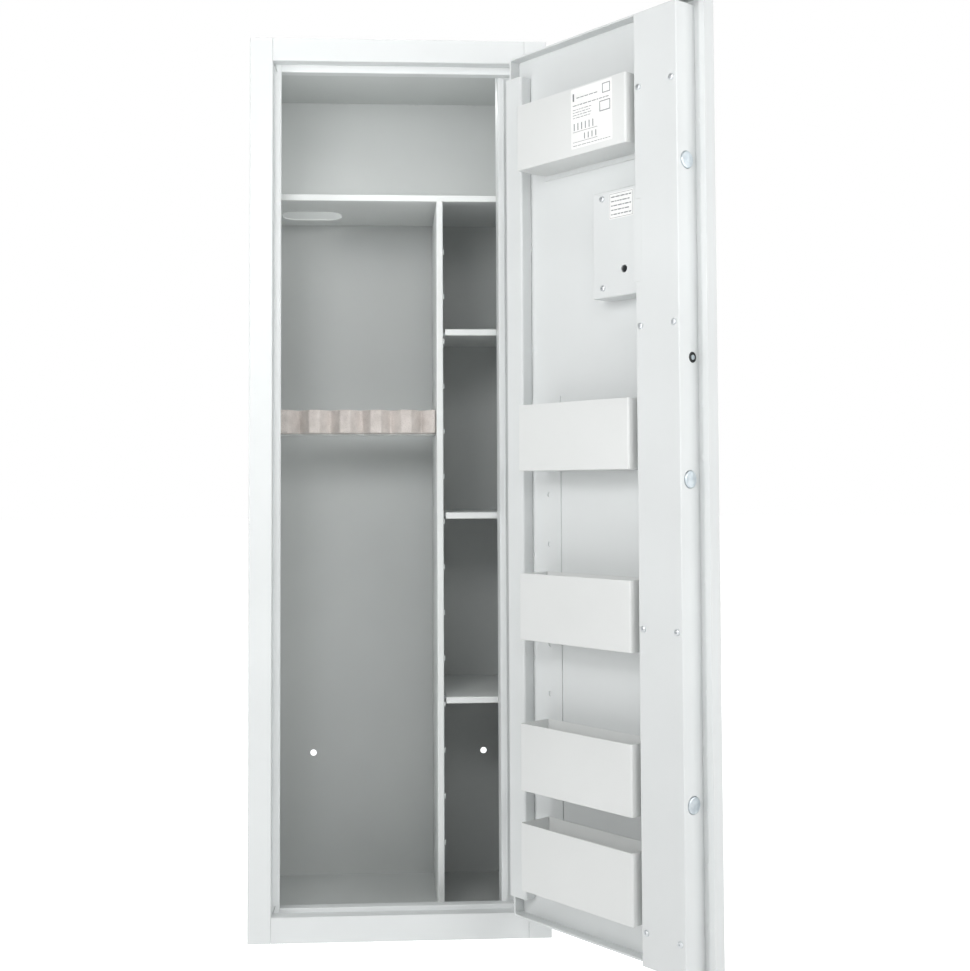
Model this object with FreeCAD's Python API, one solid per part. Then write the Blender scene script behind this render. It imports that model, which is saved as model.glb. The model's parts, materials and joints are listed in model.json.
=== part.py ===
"""Gun safe: a folded steel cabinet, a fitted gun rack and a door with bolt work.

The shop frame used below has X to the right, Y from the front face inwards and Z up from the
floor.  Door pieces are drawn with the door shut, in door measures: u runs from the hinge edge
to the free edge, v from the rim of the door tray inwards.  They are swung open at the end.
The exported origin is the middle of the base.
"""
import os

import FreeCAD
import Part

from FreeCAD import Vector
from math import cos, radians, sin

# ---- driving dimensions, in millimetres -------------------------------------------------
WIDTH = 500.0
HEIGHT = 1500.0
DEPTH = 375.0
SHEET = 3.0                     # outer sheets
FLOOR_SHEET = 5.0
BEND = 2.0                      # outside radius of a fold

OPENING_HALF_WIDTH = 211.5      # the door opening in the front face
OPENING_BOTTOM = 42.5
OPENING_TOP = 1461.5
REBATE_DEPTH = 22.5             # front face to door stop
HINGE_RETURN_DEPTH = 18.0
SIDE_STOP_EDGE = 199.0          # inner edge of the stop on the latch side
TOP_STOP_EDGE = 1449.0
BOTTOM_STOP_EDGE = 50.0
STOP_RETURN_DEPTH = 40.0

SHELF_FRONT = 102.0             # front edges of shelves and divider
SHELF_LIP = 11.0
THIN_SHEET = 2.0                # shelves, divider, post
TOP_SHELF_Z = 1257.5            # upper face
RIGHT_SHELVES_Z = (1021.0, 700.0, 380.5)
DIVIDER_X = 66.0
POST_X = 170.0
POST_FACE_Y = 40.0

REST_FRONT = 150.0
REST_DEPTH = 65.0
REST_BOTTOM = 840.0
REST_HEIGHT = 43.0
NOTCH_HALF_WIDTH = 19.0         # at the mouth of a barrel notch
NOTCH_DEPTH = 30.0              # to the point of the V, before it is rounded
NOTCH_RADIUS = 5.0
BARREL_PITCH = 54.6
BARREL_COUNT = 6
BARREL_LAST_X = 40.5            # middle of the notch next to the divider

DOOR_OPEN_ANGLE = 126.8         # the modelled pose, from shut
HINGE_X = 209.0
HINGE_Y = -8.0                  # the pins stand just proud of the front face
HINGE_HEIGHTS = (200.0, 750.0, 1300.0)
BARREL_RADIUS = 7.8
BARREL_LENGTH = 38.0
PIN_RADIUS = 4.0

DOOR_WIDTH = 418.0
DOOR_BOTTOM = 46.0
DOOR_TOP = 1459.5
DOOR_CORNER = 6.0               # outside radius of the tray's corners
TRAY_DEPTH = 22.0
TRAY_FLOOR = SHEET - TRAY_DEPTH     # v of the inside of the door plate

DOG_BAR_RIGHT = 31.0
DOG_BAR_GAP = 1.2                   # between the bar's foot and the door plate
TACK_PITCH = 177.0

BIN_LEFT = 66.0
BIN_RIGHT = 305.0
BIN_FRONT = 45.0
BIN_HEIGHT = 105.0
BIN_SHEET = 1.5
BIN_CORNER = 3.5                # outside radius of the two front corners
BIN_BOTTOMS = (1252.0, 769.0, 502.0, 265.5, 110.0)
RAIL_LEFT = 36.5
RAIL_RIGHT = 98.0
RAIL_HOLE_U = 72.0
RAIL_HOLE_PITCH = 80.0
RAIL_FIRST_HOLE = 171.0

CHANNEL_LEFT = 314.0
CHANNEL_RIGHT = 396.7
CHANNEL_FACE = 36.7
CHANNEL_SHEET = 2.5
FOOT_LEVEL = -4.0                   # v of the channel's welded foot
STIFFENER_LEFT = 406.5
CHANNEL_BOTTOM = 57.0
CHANNEL_TOP = 1441.0
CHANNEL_SCREW_HEIGHTS = (1331.0, 978.0, 538.0, 105.5)
CHANNEL_SCREW_US = (323.5, 387.0)

BOLT_HEIGHTS = (1212.0, 753.5, 296.0)
BOLT_RADIUS = 12.5
BOLT_V = 16.5
BOLT_PROUD = 2.0                # drawn bolts stand this far out of the channel
BOLT_THROW = 26.0
BAR_LEFT = 332.0
BAR_RIGHT = 354.0
BAR_HALF_THICKNESS = 2.5

COVER_LEFT = 211.0
COVER_RIGHT = 313.5
COVER_FRONT = 20.0
COVER_BOTTOM = 1030.0
COVER_TOP = 1193.0
COVER_SHEET = 2.0
SEAM = 0.3                      # between the cover's flange and the notch
NOTCH_BOTTOM = 1043.5
NOTCH_TOP = 1166.0
NOTCH_RIGHT = 326.5
RESET_HOLE_U = 276.0
RESET_HOLE_Z = 1070.0
COVER_SCREW_U = 232.0
COVER_SCREW_HEIGHTS = (1182.0, 1045.0)

LATCH_U = 260.0
LATCH_HALF = 4.0
LATCH_TOP = 1155.0
TONGUE_BOTTOM = 1157.0
TONGUE_TOP = 1174.0

HANDLE_U = 356.0
HANDLE_Z = 950.0
HANDLE_TURN = 90.0
CAM_ARM = BOLT_THROW / 2 / sin(radians(HANDLE_TURN / 2))
CAM_PIN_RADIUS = 4.0
SPINDLE_RADIUS = 6.0

PLUNGER_Z = 928.0
PLUNGER_V = 8.5
PLUNGER_BORE = 4.5
PLUNGER_PIN = 3.5
BUSH_FROM = 386.0
BUSH_RADIUS = 7.8

KEYPAD_U = 262.0
KEYPAD_Z = 1105.0
KEYPAD_WIDTH = 88.0
KEYPAD_HEIGHT = 136.0
KEYPAD_DEPTH = 22.0
KEY_WIDTH = 15.0
KEY_HEIGHT = 12.0
KEY_PITCH_U = 21.0
KEY_PITCH_Z = 18.0
KEY_GAP = 0.25
KEY_PROUD = 1.6
KEY_LENGTH = 9.0
KEY_NAMES = (("1", "2", "3"), ("4", "5", "6"), ("7", "8", "9"), ("clear", "0", "enter"))

ANCHOR_X = 163.5
ANCHOR_Z = 236.0
ANCHOR_RADIUS = 6.0

X_AXIS = Vector(1, 0, 0)
Y_AXIS = Vector(0, 1, 0)
Z_AXIS = Vector(0, 0, 1)
INNER_X = WIDTH / 2 - SHEET
INNER_BACK = DEPTH - SHEET
INNER_TOP = HEIGHT - SHEET


# ---- small helpers ----------------------------------------------------------------------
def box(x0, x1, y0, y1, z0, z1):
    """A block between two corners of the shop frame."""
    return Part.makeBox(x1 - x0, y1 - y0, z1 - z0, Vector(x0, y0, z0))


def rod(start, axis, radius, length):
    return Part.makeCylinder(radius, length, start, axis)


def join(pieces):
    """Fuse touching pieces into one solid."""
    whole = pieces[0].fuse(pieces[1:]) if len(pieces) > 1 else pieces[0]
    return whole.removeSplitter()


def group(pieces):
    """Separate solids kept together as one sub-part."""
    return Part.makeCompound(pieces)


def cut(shape, tools):
    return shape.cut(tools)


def rounded(shape, radius, axis, wanted=lambda point: True):
    """Round the straight edges along one axis whose middle point is wanted."""
    edges = []
    for edge in shape.Edges:
        if not isinstance(edge.Curve, (Part.Line, Part.LineSegment)):
            continue
        along = edge.Vertexes[-1].Point.sub(edge.Vertexes[0].Point)
        if along.Length > 1e-6 and abs(abs(along.normalize().dot(axis)) - 1) < 1e-6:
            if wanted(edge.CenterOfMass):
                edges.append(edge)
    return shape.makeFillet(radius, edges) if edges else shape


def door_x(u):
    """Shop X of a door measure, with the door shut."""
    return HINGE_X - u


def door_y(v):
    return TRAY_DEPTH + v


def door_box(u0, u1, v0, v1, z0, z1):
    return box(door_x(u1), door_x(u0), door_y(v0), door_y(v1), z0, z1)


def rod_in(u, v, z, radius, length):
    """A round bar that starts at v and runs inwards."""
    return rod(Vector(door_x(u), door_y(v), z), Y_AXIS, radius, length)


def rod_across(u, v, z, radius, length):
    """A round bar that starts at u and runs towards the free edge."""
    return rod(Vector(door_x(u), door_y(v), z), -X_AXIS, radius, length)


# ---- the cabinet ------------------------------------------------------------------------
def side_panel(side):
    inner, outer = sorted((side * INNER_X, side * WIDTH / 2))
    return box(inner, outer, SHEET, DEPTH, 0, HEIGHT)


def back_panel():
    panel = box(-INNER_X, INNER_X, INNER_BACK, DEPTH, 0, HEIGHT)
    holes = [
        rod(Vector(side * ANCHOR_X, INNER_BACK - 1, ANCHOR_Z), Y_AXIS, ANCHOR_RADIUS, SHEET + 2)
        for side in (-1, 1)
    ]
    return cut(panel, holes)


def top_panel():
    return box(-INNER_X, INNER_X, SHEET, INNER_BACK, INNER_TOP, HEIGHT)


def floor_panel():
    return box(-INNER_X, INNER_X, SHEET, INNER_BACK, 0, FLOOR_SHEET)


def relief_slits(x_side):
    """Narrow 45 degree slits where the folded corners of the rebate meet."""
    slits = []
    for z, turn in ((OPENING_TOP, 1), (OPENING_BOTTOM, -1)):
        slit = box(-0.6, 0.6, REBATE_DEPTH - 1, REBATE_DEPTH + SHEET + 1, -13, 1)
        slit.rotate(Vector(0, 0, 0), Y_AXIS, x_side * turn * 18 if turn > 0 else 180 - x_side * 18)
        slit.translate(Vector(x_side * (OPENING_HALF_WIDTH - 1.2), 0, z))
        slits.append(slit)
    return slits


def latch_stile():
    """Front face, return and stop with a rounded edge; the bolts slide in behind the stop."""
    face = box(-WIDTH / 2, -OPENING_HALF_WIDTH, 0, SHEET, 0, HEIGHT)
    side = box(-OPENING_HALF_WIDTH - SHEET, -OPENING_HALF_WIDTH, 0, REBATE_DEPTH + SHEET,
               FLOOR_SHEET, INNER_TOP)
    stop = box(-OPENING_HALF_WIDTH - SHEET, -SIDE_STOP_EDGE, REBATE_DEPTH, REBATE_DEPTH + SHEET,
               FLOOR_SHEET, INNER_TOP)
    stile = join([face, side, stop])
    stile = rounded(stile, BEND, Z_AXIS, lambda p: p.y < 0.1)
    stile = rounded(stile, SHEET / 2 - 0.05, Z_AXIS, lambda p: p.x > -SIDE_STOP_EDGE - 0.1)
    return cut(stile, relief_slits(-1))


def hinge_stile():
    face = box(OPENING_HALF_WIDTH, WIDTH / 2, 0, SHEET, 0, HEIGHT)
    side = box(OPENING_HALF_WIDTH, OPENING_HALF_WIDTH + SHEET, 0, HINGE_RETURN_DEPTH,
               FLOOR_SHEET, INNER_TOP)
    return rounded(join([face, side]), BEND, Z_AXIS, lambda p: p.y < 0.1)


def frame_rail(edge, outside, stop_edge, up):
    """Top or bottom member: face, return, stop and a short fold behind the stop."""
    def slab(x0, x1, y0, y1, z0, z1):
        return box(x0, x1, y0, y1, min(z0, z1), max(z0, z1))

    half = OPENING_HALF_WIDTH
    face = slab(-half, half, 0, SHEET, edge, outside)
    shelf = slab(-half, half, 0, REBATE_DEPTH + SHEET, edge, edge + up * SHEET)
    stop = slab(-SIDE_STOP_EDGE, half, REBATE_DEPTH, REBATE_DEPTH + SHEET,
                stop_edge, edge + up * SHEET)
    fold = slab(-SIDE_STOP_EDGE, half, REBATE_DEPTH, STOP_RETURN_DEPTH,
                stop_edge, stop_edge + up * SHEET)
    shelf = cut(shelf, [slab(-half - 1, -SIDE_STOP_EDGE, REBATE_DEPTH, REBATE_DEPTH + 5,
                             edge - 5, edge + 5)])
    rail = join([face, shelf, stop, fold])

    def bends(point):
        at_mouth = point.y < 0.1 and abs(point.z - edge) < 0.1
        at_stop = point.y < REBATE_DEPTH + 0.1 and abs(point.z - stop_edge) < 0.1
        return at_mouth or at_stop

    return rounded(rail, BEND, X_AXIS, bends)


def hinge_side_post():
    """Inner folded post that makes the pocket for the dog bar and carries the side load."""
    face = box(POST_X, INNER_X, POST_FACE_Y, POST_FACE_Y + THIN_SHEET, FLOOR_SHEET, INNER_TOP)
    web = box(POST_X, POST_X + THIN_SHEET, POST_FACE_Y, SHELF_FRONT - 12, FLOOR_SHEET, INNER_TOP)
    step = box(POST_X + 9, POST_X + 11, POST_FACE_Y - 2, POST_FACE_Y, BOTTOM_STOP_EDGE + 2,
               TOP_STOP_EDGE - 2)
    post = join([face, web])
    post = rounded(post, 1.5, Z_AXIS, lambda p: p.x < POST_X + 0.1 and p.y < POST_FACE_Y + 0.1)
    return join([post, step])


def folded_shelf(left, right, top, lip_left):
    """A shelf sheet with a hemmed front lip."""
    sheet = box(left, right, SHELF_FRONT, INNER_BACK - 0.5, top - THIN_SHEET, top)
    lip = box(lip_left, right, SHELF_FRONT, SHELF_FRONT + THIN_SHEET, top - SHELF_LIP, top)
    hem = box(left, right, SHELF_FRONT, SHELF_FRONT + 14, top - SHELF_LIP,
              top - SHELF_LIP + THIN_SHEET)
    shelf = join([sheet, lip, hem])
    return rounded(shelf, 1.5, X_AXIS, lambda p: p.y < SHELF_FRONT + 0.1)


def top_shelf():
    """The full-width shelf has a rounded window that long barrels can reach through."""
    shelf = folded_shelf(-INNER_X, INNER_X, TOP_SHELF_Z, -INNER_X)
    window = box(-217, -107, 240, 320, TOP_SHELF_Z - 5, TOP_SHELF_Z + 5)
    window = rounded(window, 28, Z_AXIS)
    return cut(shelf, [window])


def divider_tab_heights():
    return [1158.0 - 79.0 * step for step in range(14)]


def divider_panel():
    """Upright sheet with a folded front edge and a row of punched shelf hooks."""
    top = TOP_SHELF_Z - SHELF_LIP
    sheet = box(DIVIDER_X, DIVIDER_X + THIN_SHEET, SHELF_FRONT, INNER_BACK - 0.5, FLOOR_SHEET, top)
    front = box(DIVIDER_X, DIVIDER_X + SHELF_LIP, SHELF_FRONT, SHELF_FRONT + THIN_SHEET,
                FLOOR_SHEET, top)
    hem = box(DIVIDER_X + SHELF_LIP - THIN_SHEET, DIVIDER_X + SHELF_LIP, SHELF_FRONT,
              SHELF_FRONT + 12, FLOOR_SHEET, top)
    panel = join([sheet, front, hem])
    panel = rounded(panel, 1.5, Z_AXIS, lambda p: p.y < SHELF_FRONT + 0.1)
    edge = DIVIDER_X + SHELF_LIP
    tabs = [
        box(edge, edge + 2.5, SHELF_FRONT + 3, SHELF_FRONT + 10, z - 4, z + 4)
        for z in divider_tab_heights()
    ]
    return join([panel] + tabs)


def right_shelf(top):
    edge = DIVIDER_X + SHELF_LIP
    return folded_shelf(edge + 4, INNER_X, top, edge + 4)


def shelf_clips():
    """Four support clips under each of the three right-hand shelves."""
    clips = []
    for top in RIGHT_SHELVES_Z:
        z1 = top - THIN_SHEET
        for y in (140.0, 330.0):
            clips.append(box(DIVIDER_X + THIN_SHEET, DIVIDER_X + 22, y, y + 14, z1 - 6, z1))
            clips.append(box(INNER_X - 14, INNER_X, y, y + 14, z1 - 6, z1))
    return group(clips)


def barrel_centres():
    return [BARREL_LAST_X - BARREL_PITCH * step for step in range(BARREL_COUNT)]


def barrel_notch(x):
    """Cutter for one notch: a V with a rounded point, taller than the rest."""
    half = NOTCH_HALF_WIDTH * (1 + 1 / NOTCH_DEPTH)
    mouth, point, low = REST_FRONT - 1, REST_FRONT + NOTCH_DEPTH, REST_BOTTOM - 1
    outline = Part.makePolygon([
        Vector(x - half, mouth, low), Vector(x + half, mouth, low), Vector(x, point, low),
        Vector(x - half, mouth, low)])
    wedge = Part.Face(outline).extrude(Z_AXIS * (REST_HEIGHT + 2))
    return rounded(wedge, NOTCH_RADIUS, Z_AXIS, lambda p: p.y > point - 0.1)


def barrel_rest():
    """Foam rest with a row of notches, one for each barrel; the last is open at its end."""
    block = box(-INNER_X + 0.5, DIVIDER_X - 0.5, REST_FRONT, REST_FRONT + REST_DEPTH,
                REST_BOTTOM, REST_BOTTOM + REST_HEIGHT)
    return cut(block, [barrel_notch(x) for x in barrel_centres()])


def barrel_rest_bracket():
    """Folded strip under the rest, turned up behind the foam, with a weld tab at each end."""
    back = REST_FRONT + REST_DEPTH
    low, high = REST_BOTTOM - THIN_SHEET, REST_BOTTOM + REST_HEIGHT - 13
    strip = box(-INNER_X, DIVIDER_X, back - 34, back + THIN_SHEET, low, REST_BOTTOM)
    rear = box(-INNER_X, DIVIDER_X, back, back + THIN_SHEET, low, high)
    ends = [
        box(x, x + THIN_SHEET, back, back + 15, low, high)
        for x in (-INNER_X, DIVIDER_X - THIN_SHEET)
    ]
    return join([strip, rear] + ends)


# ---- the hinges -------------------------------------------------------------------------
def hinge_barrel(z, length, pad_from, pad_to):
    """A bored barrel with the weld pad that ties it to the face beside it."""
    barrel = rod(Vector(HINGE_X, HINGE_Y, z), Z_AXIS, BARREL_RADIUS, length)
    pad = box(pad_from, pad_to, HINGE_Y, 0, z + 2, z + length - 2)
    bore = rod(Vector(HINGE_X, HINGE_Y, z - 1), Z_AXIS, PIN_RADIUS + 0.05, length + 2)
    return cut(join([barrel, pad]), [bore])


def frame_hinge_barrels():
    pad = (HINGE_X + 3, HINGE_X + 13)
    return group([hinge_barrel(z - BARREL_LENGTH, BARREL_LENGTH, *pad) for z in HINGE_HEIGHTS])


def door_hinge_barrels():
    pad = (HINGE_X - 13, HINGE_X - 3)
    return group([hinge_barrel(z + 1, BARREL_LENGTH, *pad) for z in HINGE_HEIGHTS])


def hinge_pins():
    """Each pin has a domed head under the lower barrel and ends inside the upper one."""
    pins = []
    for z in HINGE_HEIGHTS:
        low = z - BARREL_LENGTH - 3
        head = rod(Vector(HINGE_X, HINGE_Y, low), Z_AXIS, BARREL_RADIUS - 1, 3)
        shank = rod(Vector(HINGE_X, HINGE_Y, low), Z_AXIS, PIN_RADIUS, 2 * BARREL_LENGTH + 2)
        washer = rod(Vector(HINGE_X, HINGE_Y, z + 0.05), Z_AXIS, BARREL_RADIUS - 1, 0.9)
        pins.append(join([head, shank, washer]))
    return group(pins)


# ---- the door shell ---------------------------------------------------------------------
def door_panel():
    """Folded tray: plate on the outside, a flange turned inwards on all four sides."""
    tray = door_box(0, DOOR_WIDTH, -TRAY_DEPTH, 0, DOOR_BOTTOM, DOOR_TOP)
    tray = rounded(tray, DOOR_CORNER, Y_AXIS)
    tray = tray.makeFillet(BEND, [edge for edge in tray.Edges if edge.BoundBox.YMax < 0.1])
    inside = door_box(SHEET, DOOR_WIDTH - SHEET, TRAY_FLOOR, 1, DOOR_BOTTOM + SHEET,
                      DOOR_TOP - SHEET)
    inside = rounded(inside, DOOR_CORNER - SHEET, Y_AXIS)
    spindle_hole = rod_in(HANDLE_U, -TRAY_DEPTH - 1, HANDLE_Z, SPINDLE_RADIUS + 1, SHEET + 2)
    wire_hole = rod_in(KEYPAD_U, -TRAY_DEPTH - 1, KEYPAD_Z + 50, 5, SHEET + 2)
    return cut(tray, [inside, spindle_hole, wire_hole])


def tack_heights():
    """Where short welds tie the foot of the dog bar to the door plate."""
    return [90.0 + TACK_PITCH * step for step in range(8)]


def dog_bar():
    """Fixed strip on the hinge side; its edge hooks behind the frame when the door is shut."""
    right, foot = DOG_BAR_RIGHT, TRAY_FLOOR + DOG_BAR_GAP
    face = door_box(-5, right, 0, SHEET, 78, 1424)
    web = door_box(right - SHEET, right, foot, SHEET, 78, 1424)
    bar = join([face, web])
    edge_y = door_y(SHEET) - 0.1
    bar = rounded(bar, 4, Z_AXIS, lambda p: p.y > edge_y and p.x < door_x(right - 1))
    tacks = [
        door_box(right - SHEET, right, TRAY_FLOOR, foot, z - 5, z + 5) for z in tack_heights()
    ]
    return join([bar] + tacks)


def rail_hole_heights():
    return [RAIL_FIRST_HOLE + RAIL_HOLE_PITCH * step for step in range(9)]


def bin_rail():
    """Perforated strip and, for the top bin, a plate on the door that bins are riveted to."""
    long_strip = door_box(RAIL_LEFT, RAIL_RIGHT, TRAY_FLOOR, TRAY_FLOOR + 2, 95, 890)
    short_strip = door_box(BIN_LEFT, BIN_RIGHT + 7, TRAY_FLOOR, TRAY_FLOOR + 2,
                           BIN_BOTTOMS[0] - 8, BIN_BOTTOMS[0] + BIN_HEIGHT)
    holes = [rod_in(RAIL_HOLE_U, TRAY_FLOOR - 1, z, 4.5, 4) for z in rail_hole_heights()]
    for u, z in bin_rivet_places(BIN_BOTTOMS[0]):
        holes.append(rod_in(u, TRAY_FLOOR - 1, z, 4.5, 4))
    return group([cut(long_strip, holes), cut(short_strip, holes)])


def bin_rivet_places(bottom):
    """Left rivet in a rail hole, right rivet at the same height by the other end."""
    heights = [z for z in rail_hole_heights() if bottom < z < bottom + BIN_HEIGHT]
    z = heights[0] if heights else bottom + 60
    return [(RAIL_HOLE_U, z), (BIN_RIGHT - 20, z)]


def door_bin(bottom):
    """Open-topped folded box; the front corners are bent, the back stands on the rail."""
    back = TRAY_FLOOR + 2
    outer = door_box(BIN_LEFT, BIN_RIGHT, back, BIN_FRONT, bottom, bottom + BIN_HEIGHT)
    outer = rounded(outer, BIN_CORNER, Z_AXIS, lambda p: p.y > door_y(BIN_FRONT) - 0.1)
    outer = rounded(outer, 1.5, X_AXIS, lambda p: p.z < bottom + 0.1)
    hollow = door_box(BIN_LEFT + BIN_SHEET, BIN_RIGHT - BIN_SHEET, back + BIN_SHEET,
                      BIN_FRONT - BIN_SHEET, bottom + BIN_SHEET, bottom + BIN_HEIGHT + 1)
    hollow = rounded(hollow, BIN_CORNER - BIN_SHEET, Z_AXIS,
                     lambda p: p.y > door_y(BIN_FRONT) - 2)
    holes = [rod_in(u, back - 1, z, 2.6, 4) for u, z in bin_rivet_places(bottom)]
    return cut(outer, [hollow] + holes)


def bin_rivets():
    rivets = []
    seat = TRAY_FLOOR + 2 + BIN_SHEET
    for bottom in BIN_BOTTOMS:
        for u, z in bin_rivet_places(bottom):
            shank = rod_in(u, TRAY_FLOOR, z, 2.5, seat - TRAY_FLOOR + 1)
            head = rod_in(u, seat, z, 4.2, 2)
            rivets.append(join([shank, head]))
    return group(rivets)


# ---- the bolt work ----------------------------------------------------------------------
def channel_screw_places():
    return [(u, z) for z in CHANNEL_SCREW_HEIGHTS for u in CHANNEL_SCREW_US]


def lock_channel():
    """Folded cover over the bolt work, bored on its edge for the bolts and the plunger.

    A narrow foot turns out from its right wall and is welded to the stiffener.
    """
    left, right, face = CHANNEL_LEFT, CHANNEL_RIGHT, CHANNEL_FACE
    low, high, t = CHANNEL_BOTTOM, CHANNEL_TOP, CHANNEL_SHEET
    front = door_box(left, right, face - t, face, low, high)
    left_wall = door_box(left, left + t, TRAY_FLOOR, face, low, high)
    right_wall = door_box(right - t, right, FOOT_LEVEL - t, face, low, high)
    foot = door_box(right - t, STIFFENER_LEFT, FOOT_LEVEL - t, FOOT_LEVEL, low, high)
    channel = join([front, left_wall, right_wall, foot])
    channel = rounded(channel, BEND, Z_AXIS, lambda p: p.y > door_y(face) - 0.1)
    openings = [rod_across(right - 8, BOLT_V, z, BOLT_RADIUS + 0.6, 12) for z in BOLT_HEIGHTS]
    openings.append(rod_across(right - 8, PLUNGER_V, PLUNGER_Z, 8, 12))
    openings += [rod_in(u, face - 5, z, 2.6, 8) for u, z in channel_screw_places()]
    openings.append(door_box(left - 1, NOTCH_RIGHT, face - t - 1, face + 1, NOTCH_BOTTOM,
                             NOTCH_TOP))
    openings.append(door_box(left - 1, left + t + 1, 6, 17.5, TONGUE_BOTTOM - 3, TONGUE_TOP + 3))
    return cut(channel, openings)


def standoff(u, z, top):
    post = rod_in(u, TRAY_FLOOR, z, 5, top - TRAY_FLOOR)
    thread = rod_in(u, top - 12, z, 2, 13)
    return cut(post, [thread])


def channel_standoffs():
    """Threaded posts welded to the door plate, for the channel and the lock cover."""
    top = CHANNEL_FACE - CHANNEL_SHEET
    posts = [standoff(u, z, top) for u, z in channel_screw_places()]
    cover_top = COVER_FRONT - COVER_SHEET
    for z in COVER_SCREW_HEIGHTS:
        post = rod_in(COVER_SCREW_U, TRAY_FLOOR, z, 4, cover_top - TRAY_FLOOR)
        posts.append(cut(post, [rod_in(COVER_SCREW_U, cover_top - 12, z, 2, 13)]))
    return group(posts)


def pan_head_screw(u, z, seat):
    """Pan head with a recess, on a shank that fills the threaded post."""
    head = rod_in(u, seat, z, 4.6, 2.6)
    recess = [
        door_box(u - 2.4, u + 2.4, seat + 1.4, seat + 4, z - 0.5, z + 0.5),
        door_box(u - 0.5, u + 0.5, seat + 1.4, seat + 4, z - 2.4, z + 2.4),
    ]
    shank = rod_in(u, seat - 11, z, 1.95, 12)
    return cut(join([head, shank]), recess)


def cover_screws():
    screws = [pan_head_screw(u, z, CHANNEL_FACE) for u, z in channel_screw_places()]
    screws += [pan_head_screw(COVER_SCREW_U, z, COVER_FRONT) for z in COVER_SCREW_HEIGHTS]
    return group(screws)


def free_edge_stiffener():
    bar = door_box(STIFFENER_LEFT, DOOR_WIDTH - SHEET, TRAY_FLOOR, -1, 60, 1445)
    return rounded(bar, 1.0, Z_AXIS, lambda p: p.y > door_y(-1) - 0.1)


def bolt_guides():
    """A welded angle with a bushed hole for each bolt, and the bored block of the plunger."""
    guides = []
    right = CHANNEL_RIGHT - CHANNEL_SHEET - 0.7
    for z in BOLT_HEIGHTS:
        plate = door_box(right - 4, right, TRAY_FLOOR, 32, z - 20, z + 20)
        foot = door_box(right - 14, right, TRAY_FLOOR, TRAY_FLOOR + 3, z - 20, z + 20)
        hole = rod_across(right - 6, BOLT_V, z, BOLT_RADIUS + 0.06, 8)
        guides.append(cut(join([plate, foot]), [hole]))
    block = door_box(368, BUSH_FROM, TRAY_FLOOR, 13.4, PLUNGER_Z - 9, PLUNGER_Z + 9)
    bore = rod_across(371, PLUNGER_V, PLUNGER_Z, PLUNGER_BORE, 20)
    guides.append(cut(block, [bore]))
    return group(guides)


def bolt_bar():
    """Flat carrier bar with the cam slot and a tongue that the lock's latch holds."""
    v0, v1 = BOLT_V - BAR_HALF_THICKNESS, BOLT_V + BAR_HALF_THICKNESS
    bar = door_box(BAR_LEFT, BAR_RIGHT, v0, v1, BOLT_HEIGHTS[2] - 30, BOLT_HEIGHTS[0] + 30)
    tongue = door_box(LATCH_U - 35, BAR_LEFT + 12, v0 - 4, v0, TONGUE_BOTTOM, TONGUE_TOP)
    middle = (BAR_LEFT + BAR_RIGHT) / 2
    slot_half = CAM_PIN_RADIUS + 0.9
    slot = door_box(middle - slot_half, middle + slot_half, v0 - 1, v1 + 1,
                    HANDLE_Z + CAM_ARM * cos(radians(HANDLE_TURN / 2)) - CAM_PIN_RADIUS - 1,
                    HANDLE_Z + CAM_ARM + CAM_PIN_RADIUS + 1)
    notches = [
        door_box(u - LATCH_HALF - 1, u + LATCH_HALF + 1, v0 - 5, v0 + 1, TONGUE_BOTTOM - 1,
                 TONGUE_BOTTOM + 8)
        for u in (LATCH_U, LATCH_U - BOLT_THROW)
    ]
    return cut(join([bar, tongue]), [slot] + notches)


def locking_bolts():
    """Three round bolts, slotted over the carrier bar, with a chamfered nose."""
    bolts = []
    end = CHANNEL_RIGHT + BOLT_PROUD
    bar = door_box(BAR_LEFT, BAR_RIGHT, BOLT_V - BAR_HALF_THICKNESS, BOLT_V + BAR_HALF_THICKNESS,
                   0, HEIGHT)
    for z in BOLT_HEIGHTS:
        bolt = rod_across(BAR_RIGHT - 14, BOLT_V, z, BOLT_RADIUS, end - BAR_RIGHT + 14)
        nose = [
            edge for edge in bolt.Edges
            if isinstance(edge.Curve, Part.Circle) and edge.CenterOfMass.x < door_x(end) + 0.1
        ]
        bolts.append(cut(bolt.makeFillet(1.8, nose), [bar]))
    return group(bolts)


def drive_cam():
    """Crank on the inner end of the spindle; its pin runs in the slot of the carrier bar."""
    swing = radians(HANDLE_TURN / 2)
    pin_u, pin_z = HANDLE_U - CAM_ARM * sin(swing), HANDLE_Z + CAM_ARM * cos(swing)
    hub = rod_in(HANDLE_U, 3, HANDLE_Z, 12, 8)
    tip = rod_in(pin_u, 3, pin_z, 7, 8)
    web = door_box(HANDLE_U - 7, HANDLE_U + 7, 3, 11, HANDLE_Z, HANDLE_Z + CAM_ARM)
    web.rotate(Vector(door_x(HANDLE_U), 0, HANDLE_Z), Y_AXIS, HANDLE_TURN / 2)
    pin = rod_in(pin_u, 3, pin_z, CAM_PIN_RADIUS, 19)
    bore = rod_in(HANDLE_U, 2, HANDLE_Z, SPINDLE_RADIUS, 12)
    return cut(join([hub, web, tip, pin]), [bore])


def handle_spindle():
    return rod_in(HANDLE_U, -TRAY_DEPTH - 26, HANDLE_Z, SPINDLE_RADIUS, TRAY_DEPTH + 26 + 11)


def handle_rose():
    """Round plate on the door face, with the bearing hole of the spindle."""
    rose = rod_in(HANDLE_U, -TRAY_DEPTH - 8, HANDLE_Z, 27, 8)
    rim = [
        edge for edge in rose.Edges
        if isinstance(edge.Curve, Part.Circle) and edge.CenterOfMass.y < door_y(-TRAY_DEPTH - 7)
    ]
    hole = rod_in(HANDLE_U, -TRAY_DEPTH - 9, HANDLE_Z, SPINDLE_RADIUS + 0.06, 10)
    return cut(rose.makeFillet(2.5, rim), [hole])


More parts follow.
